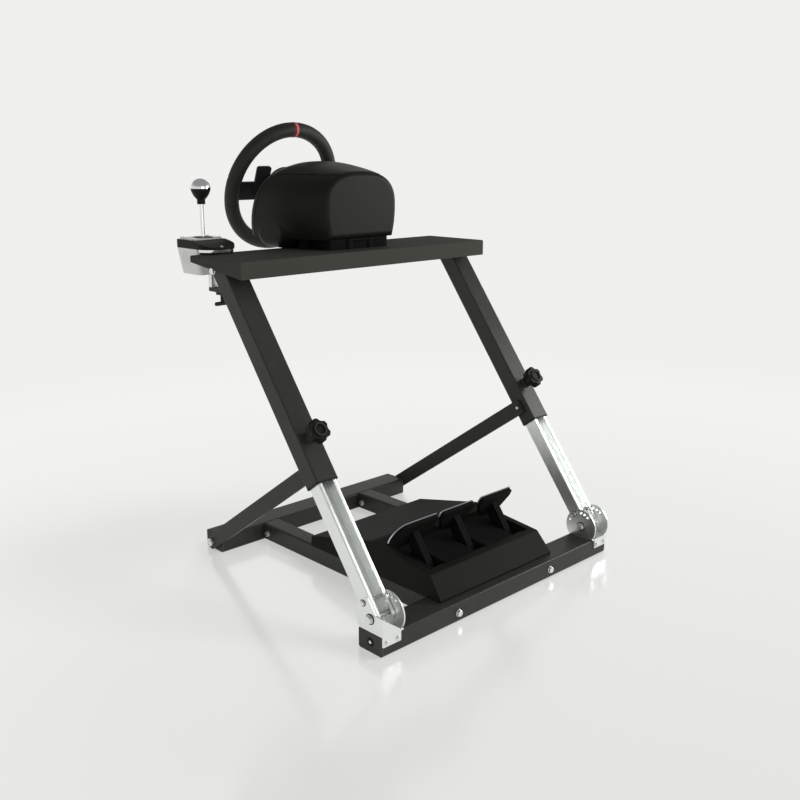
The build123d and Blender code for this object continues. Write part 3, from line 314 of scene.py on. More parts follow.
# %% Moulded plastic
def moulded(scale, depth, *tones):
    """Black moulding: an even grain of this scale and depth, and soft clouds of colour and gloss."""
    return lambda place: {**toned(place.noise(14.0), *tones), "Normal": place.cells(scale).bump(depth, 0.6)}


fine = moulded(1500.0, 0.08 * MM, (0.0075, 0.0075, 0.0065), (0.013, 0.013, 0.011), 0.12, 0.36)
black_plastic = finish("grained_black_plastic", fine, Specular_IOR_Level=0.10)

# %% [markdown]
# The pedal box is a duller moulding with a coarser grain, so that shoes grip on it. The tubes' end caps are
# the same sort of plastic, greyed by the dust of the floor, and too small to need a grain.

# %% Pedal box and end caps
coarse = moulded(900.0, 0.12 * MM, (0.0060, 0.0060, 0.0050), (0.0110, 0.0110, 0.0090), 0.10, 0.58)
pedal_plastic = finish("coarse_black_plastic", coarse, Specular_IOR_Level=0.10)
dusty = mottled(45.0, (0.045, 0.045, 0.039), (0.075, 0.075, 0.065), 0.2, 0.45, detail=6.0)
cap_plastic = finish("charcoal_end_cap", dusty, Specular_IOR_Level=0.16)

# %% [markdown]
# The hub, the paddles and the clamp's screw are black anodised metal. Its fine brushed lines are noise
# stretched along one axis, which is cheaper than an anisotropic shader and survives the export.


# %% Anodised metal
def brushed(stretch, depth, *tones, detail=3.0):
    """Brushed metal: noise pulled out to lines, which show in colour, gloss and bump alike."""
    def build(place):
        lines = place.moved(stretch=stretch).noise(1.0, detail)
        return {**toned(lines, *tones), "Normal": lines.bump(depth)}
    return build


anodised = brushed((40.0, 900.0, 900.0), 0.02 * MM, (0.012, 0.012, 0.013), (0.026, 0.026, 0.027), 0.15, 0.34)
dark_metal = finish("black_anodised_metal", anodised, Specular_IOR_Level=0.25)

# %% [markdown]
# The shifter has an off-white gloss box and a lever and knob of polished chrome. Plastic flows as it fills
# its mould and chrome takes on a breath of haze, so each gets one soft noise in colour and gloss.

# %% Off-white plastic and chrome
flow = mottled(30.0, (0.70, 0.71, 0.68), (0.80, 0.81, 0.78), 0.10, 0.28)
pale_plastic = finish("off_white_plastic", flow)
haze = mottled(90.0, (0.74, 0.75, 0.76), (0.88, 0.88, 0.88), 0.08, 0.06)
chrome = finish("polished_chrome", haze, Metallic=1.0)

# %% [markdown]
# The pedal plates are brushed steel, with lines from side to side. The lines go into colour, gloss and bump
# together, because one scratch changes all three.

# %% Brushed steel
plate_lines = brushed((12.0, 1500.0, 1500.0), 0.03 * MM, (0.46, 0.47, 0.47), (0.72, 0.73, 0.73), 0.18, 0.22,
                      detail=4.0)
brushed_steel = finish("brushed_pedal_steel", plate_lines, Metallic=1.0)

# %% [markdown]
# Rubber is the darkest thing on the stand, and it studs the pedal plates. Its near-black is also painted shade:
# it lines the pedal well, covers the arms and the mounting block under the wheel base, which lie in deep shade.
# A chalky mottle keeps it from being a black hole.


# %% Rubber and painted shade
def matt_rubber_and_shade(place):
    """Soft black rubber, whose near-black is also used as painted shade: a fine chalky mottle."""
    mottle = place.noise(320.0, detail=4.0)
    look = toned(mottle, (0.004, 0.004, 0.004), (0.009, 0.009, 0.008), 0.15, 0.70)
    return {**look, "Normal": mottle.bump(0.1 * MM, 0.5)}


rubber_and_painted_shade = finish("matt_black_rubber_and_painted_shade", matt_rubber_and_shade, Specular_IOR_Level=0.06)

# %% [markdown]
# The rim is wrapped in black leather with a red band at the top of the wheel. The band could be a piece of
# its own, but it is the same leather dyed red, so it is a mask: the stretch of rim near straight up, found
# from side distance and height. The thread that closes the leather is waxed and a little paler.

# %% Leather and thread
BAND_HALF = 5.5 * MM
PAINTED_HIGHLIGHT_HALF = 1.1 * MM
BAND_ABOVE = 60 * MM


def rim_leather(place):
    """Black leather: pebbled grain, and a red band at the top of the rim with a painted highlight along its
    middle.
    """
    grain = place.cells(700.0, "DISTANCE_TO_EDGE")
    clouds = place.noise(30.0)
    across = abs(place.axis("X"))
    high = place.axis("Z") > wheel_middle[2] + BAND_ABOVE
    band = (across < BAND_HALF) * high
    # Painted highlight: the pale line along the middle of the red band stands for the shine on the glossy band.
    line = across < PAINTED_HIGHLIGHT_HALF
    black = clouds.tint((0.012, 0.012, 0.011), (0.026, 0.026, 0.023))
    red = clouds.tint((0.30, 0.022, 0.022), (0.42, 0.036, 0.034))
    red_with_painted_highlight = line.tint(red, (0.62, 0.36, 0.35))
    return {
        "Base_Color": band.tint(black, red_with_painted_highlight),
        "Roughness": clouds * 0.14 + 0.42,
        "Normal": grain.ramp(0.0, 0.12).bump(0.12 * MM, 0.7),
    }


wheel_grip = finish("rim_leather", rim_leather, Specular_IOR_Level=0.22)
twist = mottled(1600.0, (0.020, 0.020, 0.019), (0.060, 0.060, 0.056), 0.2, 0.5, detail=2.0)
thread = finish("waxed_thread", twist, Specular_IOR_Level=0.2)

# %% [markdown]
# Each solid names the slot of its finish in the record, so one table from slot to material dresses them all.
# A second table holds the few solids with a finish of their own.

# %% Dress the solids
finishes = dict(black_paint=black_paint, silver_steel=silver_steel, zinc=zinc, black_plastic=black_plastic,
                wheel_grip=wheel_grip, dark_metal=dark_metal, pale_plastic=pale_plastic, chrome=chrome,
                pedal_metal=brushed_steel)
for part in frame["record"]["subparts"]:
    solid = nodes[part["node"]]
    solid.data.materials.clear()
    solid.data.materials.append(finishes[part["material_slot"]])
# Painted shade: the plinth under the wheel base and the pedal arms take the near-black rubber, which stands for
# the deep shade they lie in.
special = dict(platform=matt_paint, tube_caps=cap_plastic, pedal_housing=pedal_plastic, base_plinth=rubber_and_painted_shade,
               **{pedal + "_arm": rubber_and_painted_shade for pedal in PEDALS})
for node, material in special.items():
    nodes[node].data.materials[0] = material

# %% [markdown]
# New pieces are tables of points. A table has rows, and each row is a ring of points, so one helper joins
# neighbours with four-sided faces, closes the rings and fills the ends. Copies of a shape are one more
# dimension of the same table, so a set of bolts is a single piece. Primitives and modifiers could build the
# same shapes, but a table says outright where every point lies.


# %% From a table of points to a piece
def add(name, data):
    """A new object in the scene, with this data."""
    made = bpy.data.objects.new(name, data)
    bpy.context.scene.collection.objects.link(made)
    return made


def piece(name, points, body, slot, material=None, loop=False, caps=False, sharp=35.0):
    """A piece from points of shape (copies, rows, columns, 3). Each row is a closed ring and joins the next.
    loop joins the last row to the first, and caps fills the end rows."""
    points = np.asarray(points, dtype=float)
    points = points.reshape(-1, *points.shape[-3:])
    copies, rows, columns, _ = points.shape
    row, column = np.meshgrid(np.arange(rows if loop else rows - 1), np.arange(columns), indexing="ij")
    here, there = row * columns, (row + 1) % rows * columns
    after = (column + 1) % columns
    quads = np.stack([here + column, here + after, there + after, there + column], axis=-1).reshape(-1, 4)
    start = np.arange(copies)[:, None, None] * rows * columns
    faces = (start + quads).reshape(-1, 4).tolist()
    if caps:
        ends = np.stack([np.arange(columns)[::-1], np.arange(columns) + (rows - 1) * columns])
        faces += (start + ends).reshape(-1, columns).tolist()
    mesh = bpy.data.meshes.new(name)
    mesh.from_pydata(points.reshape(-1, 3).tolist(), [], faces)
    mesh.shade_smooth()
    mesh.set_sharp_from_angle(angle=np.radians(sharp))
    mesh.materials.append(material or finishes[slot])
    made = add(name, mesh)
    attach(made, body)
    print(name, "copies", copies, "faces", len(faces))
    return made


def circle(count):
    """The angles of count even steps round a circle."""
    return np.arange(count) * 2 * np.pi / count


def turned(profile, places, axis, sides=48):
    """Points of a profile turned about an axis at each place. A profile row is (radius, height) or (radius,
    height, flat). With a flat the ring is a hexagon, the flat over the cosine of the angle from its nearest
    side, and nowhere wider than the radius, which rounds the corners of a bolt head."""
    rows = np.array([(*row, 1.0)[:3] for row in profile])
    angle = circle(sides)
    from_side = (angle + np.pi / 6) % (np.pi / 3) - np.pi / 6
    radius = np.minimum(rows[:, :1], rows[:, 2:] / np.cos(from_side))
    axis = np.asarray(axis, dtype=float)
    first = np.cross(axis, UP if abs(axis[2]) < 0.9 else RIGHT)
    first /= np.linalg.norm(first)
    spokes = np.outer(np.cos(angle), first) + np.outer(np.sin(angle), np.cross(axis, first))
    shape = radius[:, :, None] * spokes + rows[:, 1, None, None] * axis
    return np.asarray(places, dtype=float).reshape(-1, 1, 1, 3) + shape


def turned_piece(name, profile, places, axis, body, slot="zinc"):
    """A piece of equal turned shapes, closed at both ends."""
    return piece(name, turned(profile, places, axis), body, slot, caps=True)


# %% [markdown]
# The frame is held together with plated hexagon bolts on round washers. A real head is a hexagon whose
# corners are turned off by a shallow cone. A bevelled prism only comes near that edge, and a ring that is
# never wider than the cone has it exactly. Two bolts go through each cross tube into the rails.

# %% Fasteners
SINK = 0.5 * MM
FRAME_THREAD = 7 * MM
RAIL_HALF = 20 * MM
NOSE_BOLT_IN, NOSE_BOLT_DROP = 4 * MM, 1 * MM


def hexagon_profile(size, washer=True):
    """A hexagon head for a thread of this size: its flats are 1.6 threads apart, it is 0.6 of a thread high,
    and the washer is two threads across."""
    flat, corner = 0.81 * size, 0.94 * size
    low = 0.2 * size if washer else 0.0
    high = low + 0.6 * size
    seat = [(size, -SINK), (size, 0.8 * low), (0.96 * size, low)] if washer else [(corner, -SINK, flat)]
    turn = np.linspace(0.0, 1.0, 4)
    cone = [(corner - 0.17 * size * t, high - 0.13 * size * (1 - t), flat) for t in turn]
    return [*seat, (corner, low, flat), *cone]


def both_sides(*places):
    """Places on the driver's right, and their mirrors on the left."""
    right = np.array(places, dtype=float).reshape(-1, 3)
    return np.concatenate([right, right * (-1, 1, 1)])


nose_high, rear_low, rail_high = span("nose_tube")[1], span("rear_tube")[0], span("rails")[1]
tube_middle = nose_high[2] / 2
rail_middle = rail_high[0] - RAIL_HALF
nose_bolts = both_sides((rail_middle - NOSE_BOLT_IN, nose_high[1], tube_middle - NOSE_BOLT_DROP))
turned_piece("nose_bolts", hexagon_profile(FRAME_THREAD), nose_bolts, NOSE, "base_frame")
rear_bolts = both_sides((rail_middle, rear_low[1], tube_middle))
turned_piece("rear_bolts", hexagon_profile(FRAME_THREAD), rear_bolts, -NOSE, "base_frame")

# %% [markdown]
# Each rail has a bolt right through it near its rear end, so it shows a head on both sides. The end caps of
# the nose tube have a raised ring with a small dome screw in it. Such a profile is a short table of radius
# and height in millimetres.

# %% Bolts on the sides
RAIL_THREAD = 6.5 * MM
RAIL_BOLT_Y = -522 * MM
RAIL_BOLT_DROP = 3 * MM
CAP_SCREW = (3.4 * MM, 2.2 * MM)


def dome_profile(radius, height, steps=6):
    """A dome head: the radius shrinks with the cosine and the height grows with the sine of a quarter turn,
    which stops a little short so that a small flat is left on top."""
    turn = np.linspace(0.0, np.pi / 2 * 0.94, steps)
    return [(radius, -SINK), *zip(radius * np.cos(turn), height * np.sin(turn))]


def in_mm(*rows):
    """A table of numbers in millimetres, as metres."""
    return np.array(rows) * MM


cap_ring = in_mm((8, -0.5), (8, 0.8), (7.2, 1.2), (5, 1.2), (4.6, 0.4))
cap_middle = (span("tube_caps")[1][0], 0.0, tube_middle)
for side, hand in SIDES:
    flip = np.array((hand, 1.0, 1.0))
    faces = hand * rail_middle + np.array((-RAIL_HALF, RAIL_HALF))
    for x, way in zip(faces, (-1.0, 1.0)):
        name = "rail_bolt_%s_%s" % (side, "outer" if way == hand else "inner")
        place = (x, RAIL_BOLT_Y, tube_middle - RAIL_BOLT_DROP)
        turned_piece(name, hexagon_profile(RAIL_THREAD), place, RIGHT * way, "base_frame")
    place, out = cap_middle * flip, RIGHT * hand
    turned_piece("cap_ring_" + side, cap_ring, place, out, "base_frame", "black_plastic")
    turned_piece("cap_screw_" + side, dome_profile(*CAP_SCREW), place, out, "base_frame")

# %% [markdown]
# A folded tab at the foot of each bracket is bolted to the front of the nose tube. The tab's face is found
# with a ray from ahead, because the bracket's box also holds its disc and would set the heads in the air.

# %% Bolts in the bracket tabs
TAB_THREAD = 5 * MM
TAB_EDGE = 6 * MM
TAB_INNER, TAB_OUTER = 2.2 * TAB_EDGE, 1.4 * TAB_EDGE
AHEAD = 1.0
tab_low, tab_high = span("leg_bracket_right")
tab_bolt_z = tab_low[2] + TAB_EDGE
tab_face = meet("leg_bracket_right", ((tab_low[0] + tab_high[0]) / 2, AHEAD, tab_bolt_z), -NOSE)[0][1]
tab_bolts = both_sides((tab_low[0] + TAB_INNER, tab_face, tab_bolt_z),
                       (tab_high[0] - TAB_OUTER, tab_face, tab_bolt_z))
turned_piece("tab_bolts", hexagon_profile(TAB_THREAD, False), tab_bolts, NOSE, "base_frame")

# %% [markdown]
# The leg's pivot bolt and the lock bolt in the angle hole are plain prisms as solids, which give their
# places. Chamfered heads, dark washers and round shanks replace them, as high as before, so the bolts still
# end where the motion was checked.

# %% Bolts of the legs
LOWER_BOLT, UPPER_BOLT = 20 * MM, 24 * MM
HEAD_SHARE = 0.8


def middle_of(points):
    """The middle of the box round some points."""
    return (points.min(0) + points.max(0)) / 2


bolts = corners("leg_bolts")
bolts = bolts[bolts[:, 0] > 0]
height = bolts[:, 2] - bolts[:, 2].min()
heads, painted_shade_washers, shanks = [], [], []
for points in (bolts[height < LOWER_BOLT], bolts[height > UPPER_BOLT]):
    place = middle_of(points)
    size = (points[:, 0].max() - tab_high[0]) / HEAD_SHARE
    washer = [(1.25 * size, -0.2 * MM), (1.25 * size, 0.7 * MM), (1.1 * size, 0.9 * MM)]
    shank = [(0.48 * size, 0.0), (0.48 * size, tab_high[0] - tab_low[0])]
    for _, hand in SIDES:
        inner, outer = [np.array((hand * x, place[1], place[2])) for x in (tab_low[0], tab_high[0])]
        for spot, way in ((inner, -hand), (outer, hand)):
            heads.append(turned(hexagon_profile(size), spot, RIGHT * way))
            painted_shade_washers.append(turned(washer, spot, RIGHT * way))
        shanks.append(turned(shank, inner, RIGHT * hand))
made = piece("leg_bolt_heads", np.concatenate(heads), "base_frame", "zinc", caps=True)
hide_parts("leg_bolts")
# Painted shade: the washers' dark metal stands for the ring of shade round each head.
piece("leg_bolt_shade_washers", np.concatenate(painted_shade_washers), "base_frame", "dark_metal", caps=True)
piece("leg_bolt_shanks", np.concatenate(shanks), "base_frame", "zinc", caps=True)

# %% [markdown]
# Each sleeve ends under the platform. One bright bolt shows on its outer side there, just below the sheet.

# %% Platform bolts
SLEEVE_BOLT_Y, SLEEVE_BOLT_Z = -431 * MM, 619 * MM
sleeve_side = span("sleeve_right")[1][0]
for side, hand in SIDES:
    place = (hand * sleeve_side, SLEEVE_BOLT_Y, SLEEVE_BOLT_Z)
    turned_piece("platform_bolt_" + side, hexagon_profile(FRAME_THREAD), place, RIGHT * hand, "upper_frame")

# %% [markdown]
# The star knobs have a round cap pressed into the middle of the face, and the boss that the screw runs in is
# welded to the sleeve. A weld bead is a small torus whose thickness ripples as the weld puddle moved. Bump
# alone would leave its outline smooth.

# %% Knob inserts and boss welds
SLEEVE_FACE = 19 * MM
WELD_RADIUS, WELD_BEAD = 11.2 * MM, 1.7 * MM
WELD_SWELL = 0.12


def weld_ring(place, axis, radius, bead, ripples=26, sides=156):
    """A rippled bead round an axis: a torus whose small radius swells and shrinks with a sine wave."""
    around, across = np.meshgrid(circle(sides), circle(10), indexing="ij")
    small = bead * (1 + WELD_SWELL * np.sin(ripples * around))
    side = np.cross(axis, RIGHT)
    spoke = np.cos(around)[..., None] * RIGHT + np.sin(around)[..., None] * -side
    out = (radius + small * np.cos(across))[..., None] * spoke
    return np.asarray(place) + out + (small * np.sin(across))[..., None] * -np.asarray(axis)


insert = in_mm((8, -1), (8, 0.2), (7.2, 0.8), (6, 0.8), (5.6, 0.2))
for side, _ in SIDES:
    centre = np.array(joints["height_knob_%s_turn" % side]["pos_m"])
    face = reach("star_knob_" + side, leg_out, centre)
    place, body = centre + face * leg_out, "height_knob_" + side
    turned_piece("knob_cap_" + side, insert, place, leg_out, body, "black_plastic")
    points = weld_ring(centre + SLEEVE_FACE * leg_out, leg_out, WELD_RADIUS, WELD_BEAD)
    piece("boss_weld_" + side, points, "upper_frame", "black_paint", loop=True)

# %% [markdown]
# The brace's studs end in small dome nuts, bright in the middle of the plain washers. The studs' corners
# give their ends, so the domes follow if the braces move.

# %% Stud domes
STUD_DOME, FOOT_DOME = (3.4 * MM, 2.0 * MM), (5.0 * MM, 3.0 * MM)
stud, foot = [points[points[:, 0] > 0] for points in (corners("brace_studs"), corners("brace_foot_studs"))]
stud_face = np.array((stud[:, 0].min(), *middle_of(stud)[1:]))
foot_face = np.array((foot[:, 0].max(), *middle_of(foot)[1:]))
for side, hand in SIDES:
    flip, out = np.array((hand, 1.0, 1.0)), RIGHT * hand
    turned_piece("stud_dome_" + side, dome_profile(*STUD_DOME), stud_face * flip, -out, "upper_frame")
    turned_piece("foot_dome_" + side, dome_profile(*FOOT_DOME), foot_face * flip, out, "base_frame")

# %% [markdown]
# The rim's solid is a plain ring. The leather over it is drawn in at every seam, and the red band stands a
# hair proud between two seams. Sculpting would do it once. As a ring whose thickness depends on the way
# round, the seams stay exact and can be moved by changing an angle.

# %% Leather on the rim
LEATHER_UNDER = 0.4 * MM
BAND_EDGE = 0.15 * MM
SEAM, SEAM_DEPTH = 1.0 * MM, 0.9 * MM
SPOKE_SEAMS = np.radians([-14.0, 9.0, 171.0, 194.0, 259.0, 281.0])
RIM_STEPS, GRIP_STEPS = 900, 40
grip = reach("wheel_rim", wheel_axis, wheel_middle)
rim_radius = reach("wheel_rim", RIGHT, wheel_middle) - grip


def turn_between(angle, other):
    """The smaller angle between two directions round the wheel."""
    return np.abs((angle - other + np.pi) % (2 * np.pi) - np.pi)


def rim_thickness(around):
    """The grip's radius: full in the red band, thinner in the leather, drawn in by a bell at each seam."""
    from_top = rim_radius * turn_between(around, np.pi / 2)
    band = 1 / (1 + np.exp((from_top - BAND_HALF) / BAND_EDGE))
    seams = [np.exp(-((from_top - BAND_HALF) / SEAM) ** 2)]
    seams += [np.exp(-(rim_radius * turn_between(around, seam) / SEAM) ** 2) for seam in SPOKE_SEAMS]
    return grip - LEATHER_UNDER * (1 - band) - SEAM_DEPTH * np.max(seams, axis=0)


def rim_points(around, across, lift=0.0):
    """A point on the rim: out along the spoke at this angle, then round the grip."""
    spoke = np.cos(around)[..., None] * RIGHT + np.sin(around)[..., None] * wheel_top
    radius = rim_thickness(around) + lift
    out = (rim_radius + radius * np.cos(across))[..., None] * spoke
    return wheel_middle + out + (radius * np.sin(across))[..., None] * wheel_axis


around, across = np.meshgrid(circle(RIM_STEPS), -circle(GRIP_STEPS), indexing="ij")
rim = piece("rim_leather", rim_points(around, across), "steering_wheel", "wheel_grip", loop=True, sharp=60.0)
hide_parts("wheel_rim")

# %% [markdown]
# The leather is closed on the inside of the ring by slanted stitches. Each is a short thread that rises out
# of the leather, crosses the seam and dips in again. All are worked out at once, less those where a spoke or
# the red band is in the way.

# %% Stitches
STITCH_PITCH, STITCH_REACH = 5.2 * MM, 2.4 * MM
STITCH_LIFT, STITCH_SLANT = 0.35 * MM, 0.32
THREAD_RADIUS = 0.55 * MM
SPOKE_GAPS = np.radians([[-15.0, 10.0], [170.0, 195.0], [258.0, 282.0], [85.5, 94.5]])
inner_radius = rim_radius - grip
starts = circle(int(2 * np.pi * inner_radius / STITCH_PITCH))
clear = [turn_between(starts, gap.mean()) > np.ptp(gap) / 2 for gap in SPOKE_GAPS]
starts = starts[np.all(clear, axis=0)]


def stitch_points(start, rows=6, columns=6):
    """Threads across the seam: a point runs slantwise over the rim, lifted by a half wave, and the round
    section shrinks towards both ends."""
    run = np.linspace(-1.0, 1.0, rows)[None, :, None]
    turn = circle(columns)[None, None, :]
    radius = THREAD_RADIUS * np.sqrt(1.05 - run ** 2)
    lift = STITCH_LIFT * np.cos(run * np.pi / 2) + radius * np.sin(turn)
    along = STITCH_SLANT * STITCH_PITCH * run + radius * np.cos(turn)
    angle = start[:, None, None] + along / inner_radius
    return rim_points(angle, np.pi + STITCH_REACH * run / grip, lift)


piece("rim_stitches", stitch_points(starts), "steering_wheel", "wheel_grip", thread, caps=True, sharp=80.0)

# %% [markdown]
# Six cap screws clamp the spoke plate to the hub, and two round buttons sit on each side spoke under the
# thumbs. Both are turned profiles on the plate's face.

# %% Hub screws and thumb buttons
HUB_SCREW = (4.2 * MM, 3 * MM)
SCREW_CIRCLE = 36.5 * MM
BUTTON_OUT, BUTTON_DROP = (64 * MM, 82 * MM), 6 * MM


def socket_profile(radius, height):
    """A cap screw: a round head with a turned edge and a six-sided hole in its face."""
    key = 0.42 * radius
    return [(radius, -SINK), (radius, 0.8 * height), (0.88 * radius, height), (1.16 * key, height, key),
            (1.16 * key, 0.35 * height, key)]


plate_middle = wheel_middle + reach("wheel_spokes", wheel_axis, wheel_middle) * wheel_axis
turns = np.radians(np.arange(6) * 60 + 30)
screws = plate_middle + SCREW_CIRCLE * (np.outer(np.cos(turns), RIGHT) + np.outer(np.sin(turns), wheel_top))
turned_piece("hub_screws", socket_profile(*HUB_SCREW), screws, wheel_axis, "steering_wheel")
spots = np.array([(hand * out, -BUTTON_DROP) for hand in (-1, 1) for out in BUTTON_OUT])
spots = plate_middle + np.outer(spots[:, 0], RIGHT) + np.outer(spots[:, 1], wheel_top)
button = in_mm((7.2, -0.5), (7.2, 1.0), (6.6, 1.5), (5.6, 1.5), (5.4, 0.7), (5.0, 0.7), (5.0, 2.2),
               (4.4, 2.9), (2.4, 3.2))
turned_piece("thumb_buttons", button, spots, wheel_axis, "steering_wheel", "black_plastic")

# %% [markdown]
# The wheel base is closed by a lid: the top of its own skin above a level parting line. A formula would only
# come near that skin, so the lid is a copy of the housing, merged, cut at that level and thickened outwards.

# %% Lid of the wheel base
LID_LEVEL, LID_RISE = 791 * MM, 0.6 * MM
MERGE = 0.001 * MM
lid_mesh = nodes["base_housing"].data.copy()
cut = bmesh.new()
cut.from_mesh(lid_mesh)
bmesh.ops.remove_doubles(cut, verts=cut.verts, dist=MERGE)
bmesh.ops.bisect_plane(cut, geom=cut.verts[:] + cut.edges[:] + cut.faces[:], plane_co=(0, 0, LID_LEVEL),
                       plane_no=(0, 0, 1), clear_inner=True)
cut.to_mesh(lid_mesh)
cut.free()
lid_mesh.name = "base_lid"
lid_mesh.shade_smooth()
lid_mesh.set_sharp_from_angle(angle=np.radians(40))
lid = add("base_lid", lid_mesh)
wall = lid.modifiers.new("wall", "SOLIDIFY")
wall.thickness = LID_RISE
wall.offset = 1.0
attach(lid, "upper_frame")
print("base_lid faces", len(lid_mesh.polygons))

# %% [markdown]
# Under the nose of the base, cooling slots show as fine level ribs across the mounting block. A rib is a
# round bar with half balls for ends, half sunk in the block's face, which a ray finds.

# %% Cooling ribs under the base
RIB_HALF, RIB_RADIUS, RIB_COUNT = 70 * MM, 1.1 * MM, 4
RIB_LOW, RIB_HIGH = 4 * MM, 6 * MM
TIP = 0.02


def rounded_bar(start, end, radius, rows=9, columns=10):
    """Round bars between two sets of points: the section closes with the sine of a quarter turn at both ends,
    down to a small tip."""
    start, end = np.atleast_2d(start), np.atleast_2d(end)
    length = np.linalg.norm(end - start, axis=1)[:, None]
    along = (end - start) / length
    first = np.cross(along, UP if abs(along[0, 2]) < 0.9 else NOSE)
    first /= np.linalg.norm(first, axis=1)[:, None]
    second = np.cross(along, first)
    bend = np.linspace(0.0, np.pi / 2, rows // 2 + 1)
    swell = radius * np.concatenate([np.sin(bend), np.sin(bend[::-1])]).clip(TIP)
    inside = np.concatenate([1 - np.cos(bend), np.cos(bend[::-1]) - 1]) * radius
    base = np.concatenate([np.zeros(len(bend)), np.ones(len(bend))])
    height = base[None] * length + inside[None]
    turn = circle(columns)
    ring = np.cos(turn)[None, :, None] * first[:, None] + np.sin(turn)[None, :, None] * second[:, None]
    middle = start[:, None] + height[..., None] * along[:, None]
    return middle[:, :, None] + swell[None, :, None, None] * ring[:, None]


block_low, block_high = span("base_plinth")
rib_z = np.linspace(block_low[2] + RIB_LOW, block_high[2] - RIB_HIGH, RIB_COUNT)
block_nose = meet("base_plinth", (0.0, AHEAD, rib_z.mean()), -NOSE)[0][1]
ends = np.array([(RIB_HALF, block_nose, z) for z in rib_z])
points = rounded_bar(ends * (-1, 1, 1), ends, RIB_RADIUS)
# Painted shade: the ribs take the near-black rubber, which stands for the deep shade under the base.
piece("block_ribs", points, "upper_frame", "black_plastic", rubber_and_painted_shade, caps=True)

# %% [markdown]
# The shifter's pale box narrows towards its foot and has three upright ribs on each side. The same round
# bars serve again, leaned with the taper so that they stay half sunk.

# %% Shifter ribs
BODY_TAPER = 7 * MM
SHIFTER_RIB = 1.3 * MM
RIB_SPAN = np.array([0.35, 0.88])
body_low, body_high = span("shifter_body")
shift_pivot = np.array(joints["shift_engage"]["pos_m"])
rib_y = shift_pivot[1] + np.array([-16, -8, 0]) * MM
rib_z = body_low[2] + RIB_SPAN * (body_high[2] - body_low[2])
half = (body_high[0] - body_low[0]) / 2 - BODY_TAPER * (1 - RIB_SPAN)
for side, hand in SIDES:
    low, high = [np.array([(shift_pivot[0] + hand * out, y, z) for y in rib_y])
                 for out, z in zip(half, rib_z)]
    points = rounded_bar(low, high, SHIFTER_RIB)
    piece("shifter_ribs_" + side, points, "upper_frame", "pale_plastic", caps=True)

# %% [markdown]
# A raised frame runs round the window that the lever comes out of. A small section is carried round a
# rounded rectangle, which keeps the frame as wide at the corners, where a scaled copy would not.


# %% Frame of the lever's window
def rounded_path(half_x, half_y, corner, steps=8):
    """A rounded rectangle as points and outward directions: each corner is a quarter turn of points."""
    turn = np.linspace(0.0, np.pi / 2, steps)
    quarter = np.arange(4)[:, None] * np.pi / 2 + turn
    out = np.stack([np.cos(quarter), np.sin(quarter), 0 * quarter], axis=-1).reshape(-1, 3)
    signs = np.array([(1, 1), (-1, 1), (-1, -1), (1, -1)]).repeat(steps, axis=0)
    middle = signs * (half_x - corner, half_y - corner)
    return np.column_stack([middle, np.zeros(len(middle))]) + corner * out, out


def moulding(path, out, place, section):
    """A section of (outwards, up) pairs carried round a closed path at a place."""
    points = path[:, None] + section[None, :, :1] * out[:, None] + section[None, :, 1:] * UP
    return np.asarray(place) + points


WINDOW = (12.6 * MM, 15.6 * MM, 4.6 * MM)
gate_low, gate_high = span("gate_plate")
gate_top = gate_high[2]
section = in_mm((2.4, -0.3), (2.4, 1.0), (2.0, 1.3), (0.4, 1.3), (0.0, 1.0), (0.0, -0.3))
points = moulding(*rounded_path(*WINDOW), (*shift_pivot[:2], gate_top), section)
piece("gate_frame", points, "upper_frame", "dark_metal", loop=True)

# %% [markdown]
# Four cap screws hold the gate plate at its corners, and a dome screw closes the band that runs to the
# clamp. The band slopes, so a ray from above gives the place of its screw and the way it leans.

# %% Screws in the gate plate and the band
GATE_SCREW, GATE_INSET = (3.0 * MM, 1.6 * MM), 6 * MM
BAND_SCREW, BAND_INSET = (3.2 * MM, 1.4 * MM), 8 * MM
ABOVE = 2.0
places = [(x, y, gate_top) for x in (gate_low[0] + GATE_INSET, gate_high[0] - GATE_INSET)
          for y in (gate_low[1] + GATE_INSET, gate_high[1] - GATE_INSET)]
turned_piece("gate_screws", socket_profile(*GATE_SCREW), places, UP, "upper_frame")
band_nose = span("shifter_band")[1][1]
place, normal = meet("shifter_band", (shift_pivot[0], band_nose - BAND_INSET, ABOVE), -UP)
turned_piece("band_screw", dome_profile(*BAND_SCREW), place, normal, "upper_frame")

# %% [markdown]
# The clamp's screw has a real thread, because it stands out against the pale floor and bump would leave its
# outline straight. The radius goes up and down with the height, and the wave is shifted by one pitch for
# each turn, which makes it a helix. The pad and the T-handle have soft edges.

# %% Clamp screw
SCREW_RADIUS, T_RADIUS = 5 * MM, 4 * MM
PITCH, THREAD_DEPTH = 2.0 * MM, 0.28
PAD_HIGH = 6 * MM
screw_low, screw_high = span("clamp_screw")
screw_x, screw_y = joints["clamp_screw_turn"]["pos_m"][:2]


def threaded_rod(place, low, high, radius, pitch, sides=32, rows_per_pitch=8):
    """A threaded rod: the radius is a triangle wave of height less turn, one wave per pitch."""
    rows = int((high - low) / pitch * rows_per_pitch)
    height, turn = np.meshgrid(np.linspace(low, high, rows), np.arange(sides) / sides, indexing="ij")
    wave = np.abs(((height / pitch - turn) % 1.0) * 2 - 1)
    ring = radius - THREAD_DEPTH * pitch * wave
    angle = 2 * np.pi * turn
    return np.stack([place[0] + ring * np.cos(angle), place[1] + ring * np.sin(angle), height], axis=-1)


